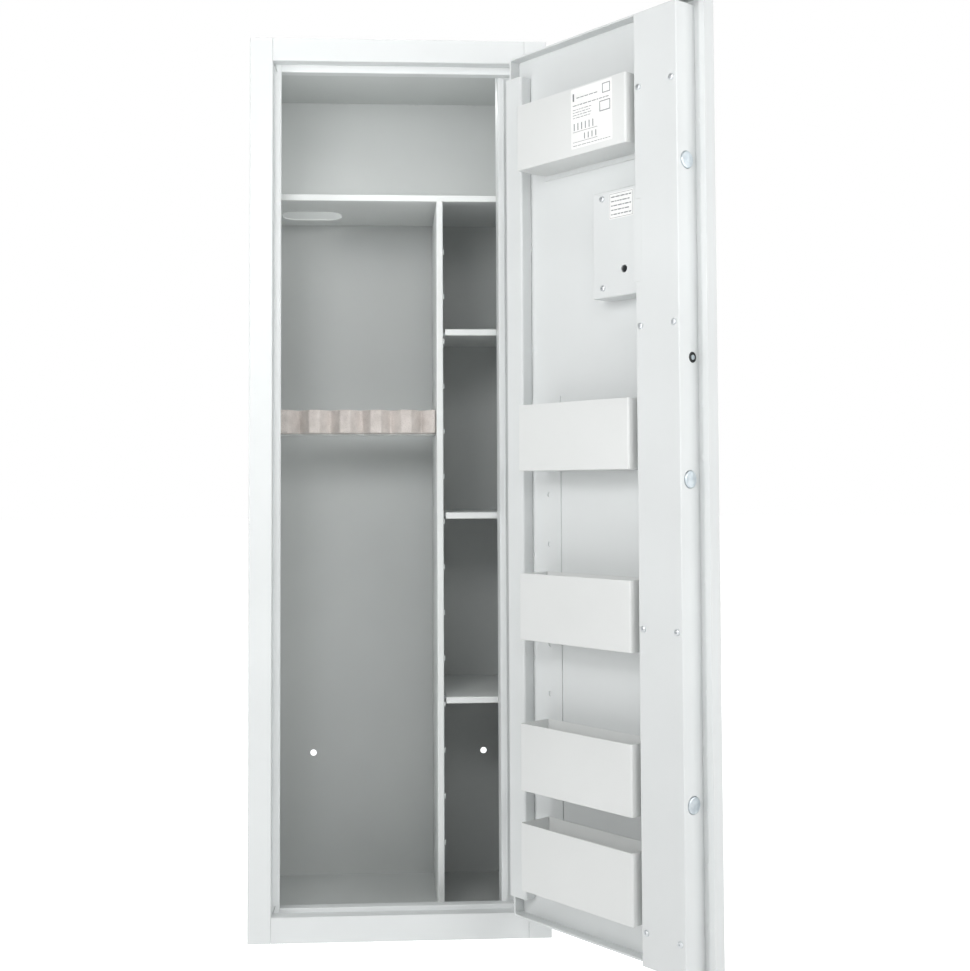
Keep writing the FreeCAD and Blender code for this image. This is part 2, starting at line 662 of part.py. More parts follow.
def handle_lever():
    """Hub with a lever arm; it hangs straight down while the bolts are drawn."""
    face = -TRAY_DEPTH - 8.4
    hub = rod_in(HANDLE_U, face - 24, HANDLE_Z, 15, 24)
    arm = door_box(HANDLE_U - 9, HANDLE_U + 9, face - 24, face - 10, HANDLE_Z - 118, HANDLE_Z)
    arm = rounded(arm, 5, Z_AXIS)
    tip = arm.Edges
    tip = [e for e in tip if abs(e.BoundBox.ZMax - HANDLE_Z + 118) < 0.1]
    arm = arm.makeFillet(3, tip)
    lever = join([hub, arm])
    crown = [
        edge for edge in lever.Edges
        if isinstance(edge.Curve, Part.Circle) and abs(edge.Curve.Radius - 15) < 0.1
        and edge.CenterOfMass.y > door_y(face) - 0.1
    ]
    lever = lever.makeFillet(1.5, crown)
    socket = rod_in(HANDLE_U, -TRAY_DEPTH - 26, HANDLE_Z, SPINDLE_RADIUS, 30)
    return cut(lever, [socket])


def spring_plunger():
    """Spring-loaded pin with a guiding collar, seen in the edge of the channel."""
    collar = rod_across(384, PLUNGER_V, PLUNGER_Z, PLUNGER_BORE - 0.07, 2)
    pin = rod_across(384, PLUNGER_V, PLUNGER_Z, PLUNGER_PIN, CHANNEL_RIGHT + 1 - 384)
    return join([collar, pin])


def plunger_bush():
    """Nylon ring that fills the hole in the channel and holds the plunger's collar back."""
    length = CHANNEL_RIGHT - BUSH_FROM - 0.2
    ring = rod_across(BUSH_FROM, PLUNGER_V, PLUNGER_Z, BUSH_RADIUS, length)
    bore = rod_across(BUSH_FROM - 1, PLUNGER_V, PLUNGER_Z, PLUNGER_PIN + 0.06, length + 2)
    return cut(ring, [bore])


def plunger_spring():
    """Compression spring behind the collar of the plunger."""
    wire = 0.4
    length = 384 - 371 - 2 * wire - 0.2
    coil = Part.makeHelix(length / 5, length, 3.4)
    section = Part.Wire([Part.makeCircle(wire, Vector(3.4, 0, 0), Y_AXIS)])
    spring = Part.Wire(coil.Edges).makePipeShell([section], True, True)
    spring.rotate(Vector(0, 0, 0), Y_AXIS, -90)
    spring.translate(Vector(door_x(371 + wire + 0.1), door_y(PLUNGER_V), PLUNGER_Z))
    return spring


# ---- the electronic lock ----------------------------------------------------------------
def lock_cover():
    """Pressed box over the lock, with a flange that lies flush in the notch of the channel."""
    t = COVER_SHEET
    shell = door_box(COVER_LEFT, COVER_RIGHT, TRAY_FLOOR, COVER_FRONT, COVER_BOTTOM, COVER_TOP)
    shell = rounded(shell, 2.5, X_AXIS, lambda p: p.y > door_y(COVER_FRONT) - 0.1)
    shell = rounded(shell, 2.0, Z_AXIS, lambda p: p.x > door_x(COVER_LEFT) - 0.1
                    and p.y > door_y(COVER_FRONT) - 4)
    hollow = door_box(COVER_LEFT + t, COVER_RIGHT - t, TRAY_FLOOR - 1, COVER_FRONT - t,
                      COVER_BOTTOM + t, COVER_TOP - t)
    cheek = door_box(COVER_RIGHT - t, COVER_RIGHT, COVER_FRONT - t, CHANNEL_FACE,
                     NOTCH_BOTTOM + SEAM, NOTCH_TOP - SEAM)
    flange = door_box(COVER_RIGHT - t, NOTCH_RIGHT - SEAM / 3, CHANNEL_FACE - t, CHANNEL_FACE,
                      NOTCH_BOTTOM + SEAM, NOTCH_TOP - SEAM)
    openings = [rod_in(RESET_HOLE_U, COVER_FRONT - t - 1, RESET_HOLE_Z, 6, t + 2)]
    openings += [rod_in(COVER_SCREW_U, COVER_FRONT - t - 1, z, 2.6, t + 2)
                 for z in COVER_SCREW_HEIGHTS]
    openings.append(door_box(COVER_RIGHT - t - 1, COVER_RIGHT + 1, 6, 17.5, TONGUE_BOTTOM - 3,
                             TONGUE_TOP + 3))
    return cut(join([cut(shell, [hollow]), cheek, flange]), openings)


def lock_body():
    """Die-cast case of the electronic lock; the latch leaves through its top face."""
    case = door_box(245, 302, TRAY_FLOOR, 17, 1058, 1150)
    case = rounded(case, 3, Y_AXIS)
    pocket = door_box(LATCH_U - LATCH_HALF - 0.1, LATCH_U + LATCH_HALF + 0.1, BOLT_V - 8.6,
                      BOLT_V - 0.4, 1120, 1151)
    reset_well = rod_in(RESET_HOLE_U, 7, RESET_HOLE_Z, 5, 11)
    return cut(case, [pocket, reset_well])


def lock_latch():
    return door_box(LATCH_U - LATCH_HALF, LATCH_U + LATCH_HALF, BOLT_V - 8.5, BOLT_V - 0.5,
                    1121, LATCH_TOP)


def key_places():
    """Name and middle of every key of the keypad."""
    for row, names in enumerate(KEY_NAMES):
        for column, name in enumerate(names):
            u = KEYPAD_U + (column - 1) * KEY_PITCH_U
            yield name, u, KEYPAD_Z + (1.1 - row) * KEY_PITCH_Z


def key_block(u, z, grow, v0, v1):
    half_u, half_z = KEY_WIDTH / 2 + grow, KEY_HEIGHT / 2 + grow
    block = door_box(u - half_u, u + half_u, v0, v1, z - half_z, z + half_z)
    return rounded(block, 2.5 + grow, Y_AXIS)


def keypad_housing():
    """Moulded keypad case on the door face, with a pocket for every key."""
    half_u, half_z = KEYPAD_WIDTH / 2, KEYPAD_HEIGHT / 2
    front = -TRAY_DEPTH - KEYPAD_DEPTH
    case = door_box(KEYPAD_U - half_u, KEYPAD_U + half_u, front, -TRAY_DEPTH,
                    KEYPAD_Z - half_z, KEYPAD_Z + half_z)
    case = rounded(case, 10, Y_AXIS)
    rim = [edge for edge in case.Edges if edge.BoundBox.YMax < door_y(front) + 0.1]
    case = case.makeFillet(3, rim)
    pockets = [
        key_block(u, z, KEY_GAP, front - 1, front + KEY_LENGTH + 0.5) for _, u, z in key_places()
    ]
    return cut(case, pockets)


def keypad_key(u, z):
    front = -TRAY_DEPTH - KEYPAD_DEPTH
    return key_block(u, z, 0, front - KEY_PROUD, front + KEY_LENGTH - KEY_PROUD)


# ---- assembly and export ----------------------------------------------------------------
def cabinet_nodes():
    upper, middle, lower = RIGHT_SHELVES_Z
    return {
        "side_panel_left": side_panel(-1),
        "side_panel_right": side_panel(1),
        "back_panel": back_panel(),
        "top_panel": top_panel(),
        "floor_panel": floor_panel(),
        "frame_stile_latch": latch_stile(),
        "frame_stile_hinge": hinge_stile(),
        "frame_rail_top": frame_rail(OPENING_TOP, HEIGHT, TOP_STOP_EDGE, 1),
        "frame_rail_bottom": frame_rail(OPENING_BOTTOM, 0, BOTTOM_STOP_EDGE, -1),
        "hinge_side_post": hinge_side_post(),
        "top_shelf": top_shelf(),
        "divider_panel": divider_panel(),
        "shelf_upper": right_shelf(upper),
        "shelf_middle": right_shelf(middle),
        "shelf_lower": right_shelf(lower),
        "shelf_clips": shelf_clips(),
        "barrel_rest": barrel_rest(),
        "barrel_rest_bracket": barrel_rest_bracket(),
        "frame_hinge_barrels": frame_hinge_barrels(),
        "hinge_pins": hinge_pins(),
    }


def door_nodes():
    nodes = {
        "door_panel": door_panel(),
        "door_hinge_barrels": door_hinge_barrels(),
        "dog_bar": dog_bar(),
        "bin_rail": bin_rail(),
        "bin_rivets": bin_rivets(),
        "lock_channel": lock_channel(),
        "channel_standoffs": channel_standoffs(),
        "cover_screws": cover_screws(),
        "free_edge_stiffener": free_edge_stiffener(),
        "bolt_guides": bolt_guides(),
        "bolt_bar": bolt_bar(),
        "locking_bolts": locking_bolts(),
        "drive_cam": drive_cam(),
        "handle_spindle": handle_spindle(),
        "handle_rose": handle_rose(),
        "handle_lever": handle_lever(),
        "spring_plunger": spring_plunger(),
        "plunger_spring": plunger_spring(),
        "plunger_bush": plunger_bush(),
        "lock_cover": lock_cover(),
        "lock_body": lock_body(),
        "lock_latch": lock_latch(),
        "keypad_housing": keypad_housing(),
    }
    for number, bottom in enumerate(BIN_BOTTOMS, start=1):
        nodes[f"door_bin_{number}"] = door_bin(bottom)
    for name, u, z in key_places():
        nodes[f"key_{name}"] = keypad_key(u, z)
    return nodes


def main():
    os.makedirs("parts", exist_ok=True)
    nodes = cabinet_nodes()
    for name, shape in door_nodes().items():
        shape.rotate(Vector(HINGE_X, HINGE_Y, 0), Z_AXIS, DOOR_OPEN_ANGLE)
        nodes[name] = shape
    for name, shape in nodes.items():
        shape.translate(Vector(0, -DEPTH / 2, 0))
        if not shape.isValid() or shape.Volume <= 0:
            raise ValueError(f"{name} is not a valid solid")
        shape.exportStep(f"parts/{name}.step")
        print(f"{name:24s} {len(shape.Solids):3d} solids {shape.Volume / 1000:10.1f} cm3")
    print(len(nodes), "nodes")


main()
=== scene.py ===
# %% [markdown]
# # A gun safe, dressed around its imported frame
# The steelwork, the hinges and everything that moves were designed elsewhere and arrive here as
# a fixed frame.  The frame stands on the floor, its base centred on the origin, with its door
# open.  This lesson gives the sheet metal its powder coat and models the pieces that need a
# softer or finer shape than plain solids have.

# %% Load the frame
import json
import math
import random

import bmesh
import bpy
from mathutils import Matrix, Vector


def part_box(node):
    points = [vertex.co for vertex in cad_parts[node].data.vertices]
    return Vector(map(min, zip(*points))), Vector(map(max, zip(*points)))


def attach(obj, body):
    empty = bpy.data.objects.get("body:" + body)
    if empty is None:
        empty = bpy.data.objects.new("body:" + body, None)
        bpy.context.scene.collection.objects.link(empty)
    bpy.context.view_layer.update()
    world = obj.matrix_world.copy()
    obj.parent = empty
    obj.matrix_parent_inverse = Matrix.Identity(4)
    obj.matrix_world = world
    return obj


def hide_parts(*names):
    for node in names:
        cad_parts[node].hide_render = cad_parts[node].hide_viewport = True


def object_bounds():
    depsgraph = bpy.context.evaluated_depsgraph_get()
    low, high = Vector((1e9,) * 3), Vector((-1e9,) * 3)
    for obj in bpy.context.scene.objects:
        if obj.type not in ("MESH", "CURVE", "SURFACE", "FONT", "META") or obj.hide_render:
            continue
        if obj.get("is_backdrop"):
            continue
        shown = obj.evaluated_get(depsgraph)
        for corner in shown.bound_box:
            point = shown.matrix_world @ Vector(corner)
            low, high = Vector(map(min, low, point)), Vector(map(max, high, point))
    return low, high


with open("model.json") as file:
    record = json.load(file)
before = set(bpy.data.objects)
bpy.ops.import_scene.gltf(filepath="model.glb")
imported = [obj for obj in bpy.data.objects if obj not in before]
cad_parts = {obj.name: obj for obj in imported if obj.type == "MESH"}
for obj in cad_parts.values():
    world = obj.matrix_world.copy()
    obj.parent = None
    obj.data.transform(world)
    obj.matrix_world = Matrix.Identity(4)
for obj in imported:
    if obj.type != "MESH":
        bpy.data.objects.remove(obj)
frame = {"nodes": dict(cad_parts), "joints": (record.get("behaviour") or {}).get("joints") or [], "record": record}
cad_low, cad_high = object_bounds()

MM = 0.001
nodes = frame["nodes"]

# %% [markdown]
# ## The door's own measures
# The door stands open at an angle, and most new pieces sit on it.  Modelling them turned would
# be awkward, so they are modelled as if the door lay square: x runs from the hinge edge to the
# free edge, y from the inside of the cabinet out through the door plate, z up.  One matrix then
# carries a finished mesh to its place.  Its directions are those of two joints: the bolts slide
# across the door, and the keys are pressed straight into it.

# %% Door measures
joints = {joint["name"]: joint for joint in frame["joints"]}
ACROSS = Vector(joints["bolt_slide"]["axis"]).normalized()
INWARD = Vector(joints["press_0"]["axis"]).normalized()
UP = Vector((0, 0, 1))


def reach(node, direction):
    """How far a node reaches along a direction, from its lowest to its highest point."""
    along = [direction.dot(vertex.co) for vertex in nodes[node].data.vertices]
    return min(along), max(along)


hinge_edge = reach("door_panel", ACROSS)[0]
tray_rim = reach("door_panel", INWARD)[1]
DOOR = Matrix((ACROSS, -INWARD, UP)).transposed().to_4x4()
DOOR.translation = ACROSS * hinge_edge + INWARD * tray_rim
TO_DOOR = DOOR.inverted()


def corners(points):
    """Lowest and highest corner round a set of points."""
    return (Vector(min(p[axis] for p in points) for axis in range(3)),
            Vector(max(p[axis] for p in points) for axis in range(3)))


def door_box(node):
    """Box of a node in the door's own measures."""
    return corners([TO_DOOR @ vertex.co for vertex in nodes[node].data.vertices])


print("door panel", [tuple(round(x, 4) for x in corner) for corner in door_box("door_panel")])

# %% [markdown]
# ## Camera
# The camera stands a little left of the middle, at half the cabinet's height, and looks slightly
# up and to the right.  A normal lens keeps the uprights straight, and a small shift, instead of
# more turn, places the cabinet left of the middle with room for the open door.

# %% Camera
CAMERA_PLACE = (-0.016, -2.4209, 0.7434)
CAMERA_YAW = 0.056
CAMERA_PITCH = 0.0446
CAMERA_ROLL = 0.0039

lens = bpy.data.cameras.new("camera")
lens.lens = 49.61
lens.shift_x = 0.0206
lens.shift_y = -0.0595
camera = bpy.data.objects.new("camera", lens)
bpy.context.scene.collection.objects.link(camera)
turn = Matrix.Rotation(-CAMERA_YAW, 4, "Z")
tilt = Matrix.Rotation(math.pi / 2 + CAMERA_PITCH, 4, "X")
roll = Matrix.Rotation(-CAMERA_ROLL, 4, "Z")
camera.matrix_world = Matrix.Translation(CAMERA_PLACE) @ turn @ tilt @ roll
bpy.context.scene.camera = camera
looks = camera.matrix_world.to_3x3() @ Vector((0, 0, -1))
print("camera looks along", [round(x, 3) for x in looks])

# %% [markdown]
# ## Studio light
# White steel on white needs light that wraps round it and still lets the inside fall off into
# grey.  Tall softboxes stand well to the sides: they light the front and the door fully, and
# reach only the first part of the cabinet's depth.  Weaker ones in front and overhead reach
# further in.  A small near one, left of the lens and high up, lights the back of the rack, and
# the divider keeps it out of the shelves on the right.  Another under the top rail opens up the
# top compartment, and two behind the safe are there for the back.  The backdrop and the floor
# show as plain white, but shine with only a part of that on the steel, so that its undersides
# stay light without washing out the shade that gives it shape.

# %% Lights, backdrop and floor
def softbox(name, place, target, width, height, power):
    """A tall rectangular light that faces a point."""
    light = bpy.data.lights.new(name, "AREA")
    light.shape = "RECTANGLE"
    light.size = width
    light.size_y = height
    light.energy = power
    box = bpy.data.objects.new(name, light)
    bpy.context.scene.collection.objects.link(box)
    box.location = place
    aim = Vector(target) - Vector(place)
    box.rotation_euler = aim.to_track_quat("-Z", "Y").to_euler()
    return box


softbox("softbox_left", (-2.3, -1.7, 1.25), (0, -0.2, 0.85), 1.0, 1.9, 31)
softbox("softbox_near", (-0.42, -1.45, 1.32), (-0.1, 0.19, 1.0), 0.4, 0.4, 5.5)
softbox("softbox_right", (1.9, -2.5, 1.35), (0.2, -0.3, 0.85), 1.0, 1.9, 27)
softbox("softbox_far_right", (2.6, -1.5, 1.35), (0.2, -0.3, 0.85), 1.0, 1.9, 16)
softbox("softbox_front", (0.1, -3.2, 2.1), (0, 0, 1.1), 1.2, 0.8, 12)
softbox("softbox_overhead", (0.1, -1.3, 3.0), (0.1, -0.3, 0.9), 1.4, 0.8, 6)
softbox("softbox_rear_left", (-1.8, 2.6, 1.6), (0, 0, 0.8), 1.0, 1.6, 30)
softbox("softbox_rear_right", (2.0, 2.4, 1.4), (0, 0, 0.8), 1.0, 1.6, 20)
softbox("top_compartment_fill", (-0.02, -0.14, 1.42), (-0.02, 0.19, 1.30), 0.36, 0.06, 0.30)

FILL = 0.09
FLOOR_GLOW = 0.31
world = bpy.data.worlds.new("studio")
bpy.context.scene.world = world
world.use_nodes = True
tree = world.node_tree
tree.nodes.clear()
seen = tree.nodes.new("ShaderNodeLightPath")
strength = tree.nodes.new("ShaderNodeMapRange")
strength.inputs["To Min"].default_value = FILL
strength.inputs["To Max"].default_value = 1.0
shine = tree.nodes.new("ShaderNodeBackground")
shine.inputs["Color"].default_value = (1, 1, 1, 1)
out = tree.nodes.new("ShaderNodeOutputWorld")
tree.links.new(seen.outputs["Is Camera Ray"], strength.inputs["Value"])
tree.links.new(strength.outputs["Result"], shine.inputs["Strength"])
tree.links.new(shine.outputs["Background"], out.inputs["Surface"])
bpy.context.scene.view_settings.view_transform = "Standard"

bpy.ops.object.select_all(action="DESELECT")
bpy.ops.mesh.primitive_plane_add(size=60, location=(0, 0, -0.0005))
floor = bpy.context.object
floor.name = "studio_floor"
floor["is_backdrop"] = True
sheet = bpy.data.materials.new("backlit_white_acrylic")
sheet.use_nodes = True
surface = sheet.node_tree.nodes["Principled BSDF"]
surface.inputs["Base Color"].default_value = (0.85, 0.85, 0.85, 1)
surface.inputs["Roughness"].default_value = 0.9
surface.inputs["Emission Color"].default_value = (1, 1, 1, 1)
seen = sheet.node_tree.nodes.new("ShaderNodeLightPath")
glow = sheet.node_tree.nodes.new("ShaderNodeMapRange")
glow.inputs["To Min"].default_value = FLOOR_GLOW
glow.inputs["To Max"].default_value = 1.0
sheet.node_tree.links.new(seen.outputs["Is Camera Ray"], glow.inputs["Value"])
sheet.node_tree.links.new(glow.outputs["Result"], surface.inputs["Emission Strength"])
floor.data.materials.append(sheet)
print("nine softboxes and a floor of", tuple(round(x) for x in floor.dimensions[:2]), "m")

# %% [markdown]
# ## Materials
# A colour is written as it would be in a paint program, in sRGB, and turned to the linear values
# that the renderer counts in.  One small function adds any kind of node with its settings and
# links, and every finish below is built with it.

# %% Colour and node helpers
def linear(hex_colour):
    """sRGB hex to a linear colour with full alpha."""
    parts = [int(hex_colour[i:i + 2], 16) / 255 for i in (1, 3, 5)]
    return [p / 12.92 if p <= 0.04045 else ((p + 0.055) / 1.055) ** 2.4 for p in parts] + [1.0]


def add(tree, kind, settings=None, values=None, links=None):
    """Add a node, set its properties and socket values, and link its inputs."""
    node = tree.nodes.new(kind)
    for name, value in (settings or {}).items():
        setattr(node, name, value)
    for name, value in (values or {}).items():
        node.inputs[name].default_value = value
    for name, source in (links or {}).items():
        tree.links.new(source, node.inputs[name])
    return node


def shader(name, **constants):
    """A new material with a principled shader; constants are set on its own sockets."""
    material = bpy.data.materials.new(name)
    material.use_nodes = True
    material.node_tree.nodes.clear()
    tree = material.node_tree
    surface = add(tree, "ShaderNodeBsdfPrincipled",
                  values={key.replace("_", " "): value for key, value in constants.items()})
    add(tree, "ShaderNodeOutputMaterial", links={"Surface": surface.outputs["BSDF"]})
    return material, tree, surface


def noise(tree, wavelength, detail=2.0, where=None):
    """Noise in object space whose features are about one wavelength, in metres, across."""
    where = where or add(tree, "ShaderNodeTexCoord").outputs["Object"]
    return add(tree, "ShaderNodeTexNoise", values={"Scale": 1 / wavelength, "Detail": detail},
               links={"Vector": where})


def spread(tree, source, low, high, start=0.35, end=0.65):
    """Map the middle of a noise to a range of numbers."""
    return add(tree, "ShaderNodeMapRange",
               values={"From Min": start, "From Max": end, "To Min": low, "To Max": high},
               links={"Value": source}).outputs["Result"]


def blend(tree, source, first, second, start=0.35, end=0.65):
    """Mix two sRGB colours by a noise."""
    factor = spread(tree, source, 0.0, 1.0, start, end)
    mixed = add(tree, "ShaderNodeMix", settings={"data_type": "RGBA"}, links={"Factor": factor})
    mixed.inputs["A"].default_value = linear(first)
    mixed.inputs["B"].default_value = linear(second)
    return mixed.outputs["Result"]


def relief(tree, surface, height, depth):
    """Bump of a real depth, in metres."""
    bump = add(tree, "ShaderNodeBump", values={"Strength": 1.0, "Distance": depth},
               links={"Height": height})
    tree.links.new(bump.outputs["Normal"], surface.inputs["Normal"])


print("white paper is", [round(x, 2) for x in linear("#F4F4F2")[:3]])

# %% [markdown]
# ## Powder coat
# The sheet steel is sprayed with polyester powder that melts and flows in an oven.  It leaves a
# light grey satin skin with a faint orange peel, softer at the folds, and never a mirror.  The
# peel of real powder coat has waves of 1 to 2 mm, which is too fine to show, so it is drawn with
# waves of 3.5 mm.  A second, slow noise stands for the film's uneven thickness: where it is
# thin, the colour is a shade darker and the gloss a little higher.

# %% Powder-coated steel
PEEL_WAVE = 3.5 * MM
PEEL_DEPTH = 0.035 * MM
FILM_WAVE = 260 * MM


def powder_coat(name, light, dark, roughness):
    """Satin powder coat on sheet steel."""
    material, tree, surface = shader(name, IOR=1.5, Specular_IOR_Level=0.45)
    film = noise(tree, FILM_WAVE, 3.0).outputs["Fac"]
    tree.links.new(blend(tree, film, dark, light), surface.inputs["Base Color"])
    tree.links.new(spread(tree, film, roughness - 0.04, roughness + 0.05),
                   surface.inputs["Roughness"])
    peel = noise(tree, PEEL_WAVE, 1.5).outputs["Fac"]
    relief(tree, surface, peel, PEEL_DEPTH)
    return material


# The whole safe wears one and the same paint. The body's coat, which lines the inside of the cabinet, is a darker
# copy of it as painted shade, and the shelves' coat is a lighter copy as painted light.
finishes = {
    "body_coat": powder_coat("powder_coat_body_darkened_as_shade", "#CFD2D1", "#CACDCC", 0.44),
    "frame_coat": powder_coat("powder_coated_steel_frame", "#DDE0E0", "#D9DCDC", 0.42),
    "shelf_coat": powder_coat("powder_coat_shelf_lightened_as_light", "#E6E9E8", "#E2E5E4", 0.40),
    "door_coat": powder_coat("powder_coated_steel_door", "#DDE0E0", "#D9DCDC", 0.42),
    "bin_coat": powder_coat("powder_coated_steel_bin", "#E0E2E1", "#DCDEDD", 0.40),
}
print(len(finishes), "powder coats")

# %% [markdown]
# ## Bare and plated metal
# Fasteners and the hidden bolt work are zinc plated: bluish, bright, with soft mottling.  The
# bolts are turned and nickel plated, so fine rings run round them.  Rivets are plain aluminium,
# the lock's case is a dull die casting, and the lever is satin chrome.  All are metallic, keep
# the default index of refraction, and differ in tint, roughness and texture.

# %% Metals
def mottled_metal(name, light, dark, roughness, patch, grain, depth):
    """Metal with mottled tint and roughness and a fine grain."""
    material, tree, surface = shader(name, Metallic=1.0)
    mottle = noise(tree, patch, 3.0).outputs["Fac"]
    tree.links.new(blend(tree, mottle, dark, light), surface.inputs["Base Color"])
    tree.links.new(spread(tree, mottle, roughness + 0.06, roughness - 0.04),
                   surface.inputs["Roughness"])
    relief(tree, surface, noise(tree, grain, 4.0).outputs["Fac"], depth)
    return material


def turned_metal(name, light, dark, roughness, ring):
    """Metal turned in a lathe: rings follow each other along the direction across the door."""
    material, tree, surface = shader(name, Metallic=1.0)
    place = add(tree, "ShaderNodeTexCoord").outputs["Object"]
    along = add(tree, "ShaderNodeVectorMath", settings={"operation": "DOT_PRODUCT"},
                links={0: place})
    along.inputs[1].default_value = ACROSS
    rings = add(tree, "ShaderNodeTexNoise", settings={"noise_dimensions": "1D"},
                values={"Scale": 1 / ring, "Detail": 3.0}, links={"W": along.outputs["Value"]})
    mottle = noise(tree, 9 * MM, 2.0).outputs["Fac"]
    tree.links.new(blend(tree, mottle, dark, light), surface.inputs["Base Color"])
    tree.links.new(spread(tree, rings.outputs["Fac"], roughness - 0.05, roughness + 0.08),
                   surface.inputs["Roughness"])
    relief(tree, surface, rings.outputs["Fac"], 0.02 * MM)
    return material


finishes["zinc_plate"] = mottled_metal(
    "zinc_plated_steel", "#EBEEF0", "#D6DADD", 0.46, 6 * MM, 0.8 * MM, 0.01 * MM)
finishes["bolt_steel"] = turned_metal(
    "nickel_plated_turned_steel", "#E3EAEE", "#CFD8DE", 0.34, 1.0 * MM)
finishes["rivet_aluminium"] = mottled_metal(
    "plain_aluminium", "#DCDDDE", "#C9CBCC", 0.38, 3 * MM, 0.6 * MM, 0.01 * MM)
finishes["spring_steel"] = mottled_metal(
    "drawn_spring_wire", "#9FA1A3", "#85878A", 0.28, 2 * MM, 0.5 * MM, 0.01 * MM)
finishes["lock_casting"] = mottled_metal(
    "zinc_die_casting", "#A3A6A8", "#8C8F91", 0.50, 12 * MM, 1.2 * MM, 0.04 * MM)
finishes["handle_chrome"] = mottled_metal(
    "satin_chrome_plate", "#E3E4E6", "#D6D8DA", 0.17, 30 * MM, 0.7 * MM, 0.004 * MM)
print(len(finishes), "finishes so far")

# %% [markdown]
# ## Plastic, rubber, foam and paper
# The keypad's case is moulded ABS with a spark-eroded grain, which makes black plastic look
# dry.  The keys are silicone rubber, softer and more matt.  The barrel rest is cut from
# closed-cell foam: its face shows the cut cells as small pits, whose darker colour is painted
# shade in their hollows, and its fuzz catches light at grazing angles, which a little sheen stands for.

# %% Plastic and rubber
def moulded(name, light, dark, roughness, grain, depth, **constants):
    """Moulded plastic or rubber with a grained skin."""
    material, tree, surface = shader(name, **constants)
    cells = noise(tree, grain, 3.0).outputs["Fac"]
    slow = noise(tree, 40 * MM, 2.0).outputs["Fac"]
    tree.links.new(blend(tree, slow, dark, light), surface.inputs["Base Color"])
    tree.links.new(spread(tree, cells, roughness - 0.06, roughness + 0.06),
                   surface.inputs["Roughness"])
    relief(tree, surface, cells, depth)
    return material


finishes["keypad_plastic"] = moulded(
    "moulded_abs_black", "#1F2022", "#191A1C", 0.44, 1.0 * MM, 0.05 * MM, IOR=1.54)
finishes["key_rubber"] = moulded(
    "silicone_rubber_grey", "#3A3B3E", "#333437", 0.62, 0.8 * MM, 0.03 * MM, IOR=1.41)

finishes["bush_nylon"] = moulded(
    "turned_nylon_black", "#202124", "#18191B", 0.38, 0.9 * MM, 0.02 * MM, IOR=1.53)
finishes["label_paper"] = moulded(
    "coated_label_paper", "#F4F4F3", "#F0F1F0", 0.55, 0.5 * MM, 0.004 * MM, IOR=1.5)
finishes["label_ink"] = moulded(
    "printed_ink_grey", "#6E7275", "#66696C", 0.50, 0.5 * MM, 0.002 * MM, IOR=1.5)
finishes["lamp_green"] = moulded(
    "cast_acrylic_green", "#3F8F5A", "#35804E", 0.20, 2.0 * MM, 0.002 * MM, IOR=1.49)
finishes["lamp_red"] = moulded(
    "cast_acrylic_red", "#9B3430", "#8B2C29", 0.20, 2.0 * MM, 0.002 * MM, IOR=1.49)
finishes["legend_ink"] = moulded(
    "printed_ink_white", "#E6E7E8", "#DCDDDF", 0.45, 0.5 * MM, 0.002 * MM, IOR=1.5)


# %% Foam
CELL = 1.6 * MM


def cut_foam(name, light, dark, pit_shade_colour):
    """Closed-cell foam sawn to shape, with open cells as pits whose darker colour is painted shade, and streaks of
    the blade.
    """
    material, tree, surface = shader(name, Roughness=0.95, IOR=1.4, Sheen_Weight=0.25,
                                     Sheen_Roughness=0.5)
    place = add(tree, "ShaderNodeTexCoord").outputs["Object"]
    cells = add(tree, "ShaderNodeTexVoronoi", values={"Scale": 1 / CELL},
                links={"Vector": place}).outputs["Distance"]
    slow = noise(tree, 22 * MM, 3.0, place).outputs["Fac"]
    colour = blend(tree, slow, dark, light)
    # Painted shade: the pit colour takes over towards each cell's middle, standing for the shade in the open
    # cells' hollows.
    depth = add(tree, "ShaderNodeMapRange", values={"From Min": 0.0, "From Max": 0.35},
                links={"Value": cells}).outputs["Result"]
    mixed = add(tree, "ShaderNodeMix", settings={"data_type": "RGBA"},
                links={"Factor": depth, "B": colour})
    mixed.inputs["A"].default_value = linear(pit_shade_colour)
    tree.links.new(mixed.outputs["Result"], surface.inputs["Base Color"])
    relief(tree, surface, cells, 0.25 * MM)
    return material


# A39C97 is painted shade in the hollows of the open cells.
finishes["rest_foam"] = cut_foam("cut_closed_cell_foam", "#E0D9D4", "#CFC8C3", "#A39C97")
print(len(finishes), "finishes in all")

# %% [markdown]
# ## Dress the frame
# Every node of the frame names the finish it takes in the record.  A node's own mesh isn't
# touched: its material slots are filled and nothing else.

# %% Give each CAD node its finish
def dress(piece, finish):
    """Fill a piece's material slots with one finish."""
    piece.data.materials.clear()
    piece.data.materials.append(finishes[finish])


for part in frame["record"]["subparts"]:
    dress(nodes[part["node"]], part["material_slot"])

# %% [markdown]
# ## Modelling by hand, in code
# The new pieces are made the way a modeller works: add a primitive at its size and place, go
# into edit mode, choose faces or edges, bevel, inset or extrude them, come back and finish with
# modifiers.  An operator acts on whatever is selected, so a piece is always selected alone
# first, and its parts are chosen by where they are or which way they face.

# %% Modelling helpers
def select_only(*pieces):
    """Select just these pieces and make the last one active."""
    bpy.ops.object.select_all(action="DESELECT")
    for piece in pieces:
        piece.select_set(True)
        bpy.context.view_layer.objects.active = piece


def settle(name):
    """Name the new primitive and put its place and size into its mesh."""
    bpy.ops.object.transform_apply(location=True, rotation=True, scale=True)
    bpy.context.object.name = name
    return bpy.context.object


def block(name, low, high):
    """A cube primitive between two corners."""
    select_only()
    low, high = Vector(low), Vector(high)
    bpy.ops.mesh.primitive_cube_add(size=1, location=(low + high) / 2, scale=high - low)
    return settle(name)


